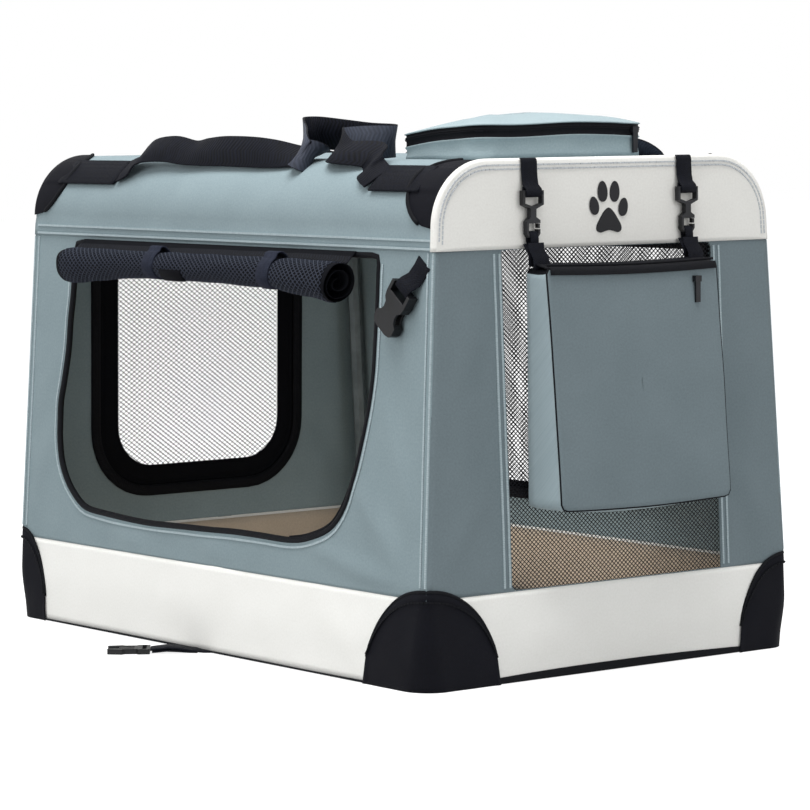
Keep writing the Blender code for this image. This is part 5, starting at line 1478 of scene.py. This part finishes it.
# ---------------------------------------------------------------- straps and webbing
# Short lengths of black webbing: sewn in the front corner seams with a female buckle each, and
# under the near edge of the base with the male buckle, which lies on the floor.
STRAP_TURN = math.radians(36)                   # how far the buckles and the loose strap lean
BUCKLE_HUB = (-0.3195, 0.3865, 0.0080)          # along the wall, height and out of it
# The side straps' loop round the buckle's bar: away from the hub and out of the wall
SIDE_LOOP = [(0.0135, -0.0050), (0.0080, 0.0020), (0.0030, 0.0042), (-0.0015, 0.0040),
             (-0.0042, 0.0006), (-0.0036, -0.0034), (0.0020, -0.0046)]
# The strap under the base and its turned-back end: along and up
BASE_STRAPS = {
    "base_strap_webbing": ((-0.012, 0.0006), (0.0, 0.0008), (0.012, 0.0022), (0.024, 0.0042),
                           (0.036, 0.0054), (0.048, 0.0042), (0.0545, 0.0034)),
    "base_strap_fold": ((0.006, 0.0006), (0.016, 0.0010), (0.026, 0.0018), (0.038, 0.0024),
                        (0.047, 0.0016), (0.053, 0.0012))}


def webbing_run(name, points, outs, width, thick, body, node):
    """A length of webbing along a run of points."""
    bm = bmesh.new()
    sweep(bm, points, outs, flat_band(width, thick))
    bmesh.ops.recalc_face_normals(bm, faces=bm.faces)
    cloth_piece(name, bm, [webbing], body, [node])


def standing_out(run, across):
    """Which way is out at each point of a run of webbing, given the way across it."""
    last = len(run) - 1
    return [across.cross((run[min(k + 1, last)] - run[max(k - 1, 0)]).normalized())
            for k in range(last + 1)]


for side, sx in (("near", -1), ("far", 1)):
    hub, out = on_wall(side, *BUCKLE_HUB), wall_out(side)
    up = Vector((-sx * SIDE_LEAN, 0, 1)).normalized()
    away = (up * math.cos(STRAP_TURN) - Vector((0, 1, 0)) * math.sin(STRAP_TURN)).normalized()
    start = hub - out * 0.0068 + away * 0.0300
    run = [start + away * 0.004, start - away * 0.006]
    run += [hub + away * along + out * lift for along, lift in SIDE_LOOP]
    webbing_run(f"side_strap_{side}_webbing", run, standing_out(run, away.cross(out)), 0.0220, 0.0017,
                f"{side}_wall_trim", f"side_strap_{side}")

toward = Vector((-math.cos(STRAP_TURN), math.sin(STRAP_TURN), 0))
start = Vector((-0.2434, 0.004, 0.0))
for name, places in BASE_STRAPS.items():
    run = [start + toward * along + Vector((0, 0, z)) for along, z in places]
    webbing_run(name, run, Vector((0, 0, 1)), 0.0240, 0.0018, "base_strap", "base_strap")


# ---------------------------------------------------------------- hook straps
# Short straps sewn in the yoke's folded edge. Each hangs down the yoke and is wrapped round the
# eye of its snap hook.
HOOK_X, EYE_Z, HOOK_Z = 0.102, 0.4790, 0.4370
HOOK_Y = -(half_length(HOOK_Z) + 0.0061)
for side, x in (("near", -HOOK_X), ("far", HOOK_X)):
    run = [Vector((x, y, z)) for y, z in (
        (-0.3536, 0.5128), (-0.3556, 0.5118), (-0.3564, 0.5080), (-0.3566, 0.5010), (-0.3572, 0.4930),
        (-0.3586, 0.4868), (HOOK_Y - 0.0036, EYE_Z + 0.0040), (HOOK_Y - 0.0052, EYE_Z - 0.0005),
        (HOOK_Y - 0.0034, EYE_Z - 0.0042), (HOOK_Y + 0.0010, EYE_Z - 0.0048),
        (HOOK_Y + 0.0034, EYE_Z - 0.0010), (HOOK_Y + 0.0028, EYE_Z + 0.0060))]
    webbing_run(f"hook_strap_{side}_webbing", run, standing_out(run, Vector((1, 0, 0))), 0.0200, 0.0016,
                "front_straps", f"hook_strap_{side}")


# ---------------------------------------------------------------- hanging bag
# A zipped pouch in the front wall's grey, darker as painted shade, with a gusset all round painted
# paler as painted light, and a dark piping at its edges. It hangs by two webbing tabs from the snap
# hooks, and its foot stands out.
BAG_HALF, BAG_TOP, BAG_LOW = 0.111, 0.4060, 0.1720
BAG_HIGH, BAG_MID = BAG_TOP - BAG_LOW, (BAG_TOP + BAG_LOW) / 2
BAG_BACK = -0.3605
BAG_STEPS = 170
# Rows from the middle of its back to the middle of its front: inset, and share of its depth
BAG_ROWS = [(0.1109, 0.02), (0.060, 0.02), (0.0200, 0.0), (0.0030, 0.005), (0.0, 0.06), (0.0006, 0.25),
            (0.0012, 0.50), (0.0008, 0.75), (0.0000, 0.93), (-0.0004, 0.97), (0.0006, 1.0), (0.0040, 1.004),
            (0.012, 1.012), (0.030, 1.026), (0.055, 1.038), (0.082, 1.044), (0.1109, 1.046)]
BAG_LAST = len(BAG_ROWS) - 1
FRONT_ROW, BACK_ROW = 9, 3                      # the rows with piping
# The tabs' webbing: the loop round the hook, from the hook's middle (out, up), then the runs in
# front and behind, whose last places are measured from the bag's top edge
TAB_LOOP = [(-0.0048, -0.0100), (-0.0050, -0.0030), (-0.0030, 0.0040), (0.0016, 0.0046),
            (0.0042, 0.0006), (0.0034, -0.0060), (0.0010, -0.0110)]
TAB_FRONT = ([(-0.0040, -0.0070), (-0.0050, -0.0140)],
             [(-0.0110, 0.0090), (-0.0120, 0.0010), (-0.0120, -0.0020)])
TAB_BACK = ([(0.0020, -0.0085)], [(-0.0050, 0.0120), (-0.0060, 0.0010)])
# The gusset's grey is painted paler than the front: painted light from the lamp at the left
bag_side_painted_light = cloth_finish("bag side cloth with painted light", linear(146, 162, 168), linear(162, 178, 183), pitch=620.0)
bag_path = even_loop(rounded_box_path(BAG_HALF, BAG_HIGH / 2, 0.006, steps=4, spacing=0.008), BAG_STEPS)


def bag_depth(z):
    """How deep the bag is at a height: its foot stands out from the net."""
    up = 2 * (z - BAG_LOW) / BAG_HIGH - 1
    return 0.0355 - 0.0028 * max(0.0, up) + 0.0075 * (1 - up)


def bag_place(u, v):
    """The bag's surface, its top edge dipping, its foot drooping, its cloth a little crinkled."""
    inset, share = BAG_ROWS[round(v * BAG_LAST)]
    point = bag_path[round(u * BAG_STEPS) % BAG_STEPS]
    x = point.x * max(BAG_HALF - inset, 0.0002) / BAG_HALF
    z = BAG_MID + point.y * max(BAG_HIGH / 2 - inset, 0.0002) / (BAG_HIGH / 2)
    y = BAG_BACK - bag_depth(z) * share
    foot = max(0.0, 1 - (z - BAG_LOW) / 0.05)
    top = max(0.0, (z - BAG_LOW) / BAG_HIGH - 0.86) / 0.14
    drop = -0.0026 * math.cos(math.pi * x / 0.24) * foot
    drop -= 0.0020 * top * math.cos(math.pi * x / 0.21) * (1 if abs(x) < 0.105 else 0)
    if point.y < 0:
        drop -= 0.0085 * foot * math.sin(math.pi * min(share, 1.0)) * (1 - (x / 0.125) ** 2)
    crinkle = 0.0011 * noise.noise(Vector((x * 12, z * 12, 6.0))) * (1 if share > 0.9 else 0.5)
    crinkle += 0.0010 * noise.noise(Vector((x * 30, z * 9, 2.0))) * max(0.0, 1 - abs(share - 0.5) * 3)
    lean = 0.004 * (1 - (z - BAG_LOW) / BAG_HIGH) * min(share, 1.0)
    return Vector((x + lean, y - crinkle, z + drop)), (x, z + y)


def bag_slot(u, v):
    """Front cloth, darker as painted shade, on the face, side cloth painted paler as painted light on the
    gusset, and zip tape on its top.
    """
    if v * BAG_LAST > FRONT_ROW:
        return 0
    return 1 if bag_path[int(u * BAG_STEPS) % BAG_STEPS].y > BAG_HIGH / 2 - 0.004 else 4


bm = bmesh.new()
grid(bm, BAG_STEPS, BAG_LAST, bag_place, bag_slot)
bmesh.ops.recalc_face_normals(bm, faces=bm.faces)
zip_run = []
for x in (-0.109 + 0.218 * k / 40 for k in range(41)):
    dip = 0.0020 * math.cos(math.pi * x / 0.21) * (1 if abs(x) < 0.105 else 0)
    zip_run.append(Vector((x, BAG_BACK - bag_depth(BAG_TOP) * 0.60, BAG_TOP + 0.0012 - dip)))
# The zip's tape on the top, its front edge turned down, and the coil
for shift, facing, section in (((0, 0, 0), (0, -0.2, 0.98), flat_band(0.0220, 0.0014)),
                               ((0, -0.0150, -0.0040), (0, -0.95, 0.30), flat_band(0.0076, 0.0010)),
                               ((0, -0.0100, 0.0016), (0, -0.4, 0.9), round_bead(0.0014, 0.0004))):
    sweep(bm, [point + Vector(shift) for point in zip_run], Vector(facing).normalized(), section, slot=1)
for row, bead in ((FRONT_ROW, 0.0009), (BACK_ROW, 0.0007)):
    run = [bag_place(k / BAG_STEPS, row / BAG_LAST)[0] for k in range(BAG_STEPS)]
    sweep(bm, run, Vector((0, -1, 0)), round_bead(bead, sides=6), slot=2, closed=True)
for x in (-HOOK_X, HOOK_X):
    for shift, (by_hook, by_bag), width in ((0.0, (TAB_LOOP, []), 0.0100), (0.001, TAB_FRONT, 0.0200),
                                            (0.0, TAB_BACK, 0.0200)):
        tab = [Vector((x + shift, HOOK_Y + out, HOOK_Z + up)) for out, up in by_hook]
        tab += [Vector((x + shift, BAG_BACK + out, BAG_TOP + up)) for out, up in by_bag]
        sweep(bm, tab, standing_out(tab, Vector((-1, 0, 0))), flat_band(width, 0.0014), slot=3)
cloth_piece("bag_shell", bm, [grey_painted_shade, zip_tape, binding_cloth, webbing, bag_side_painted_light], "hanging_bag",
            ["hanging_bag"])
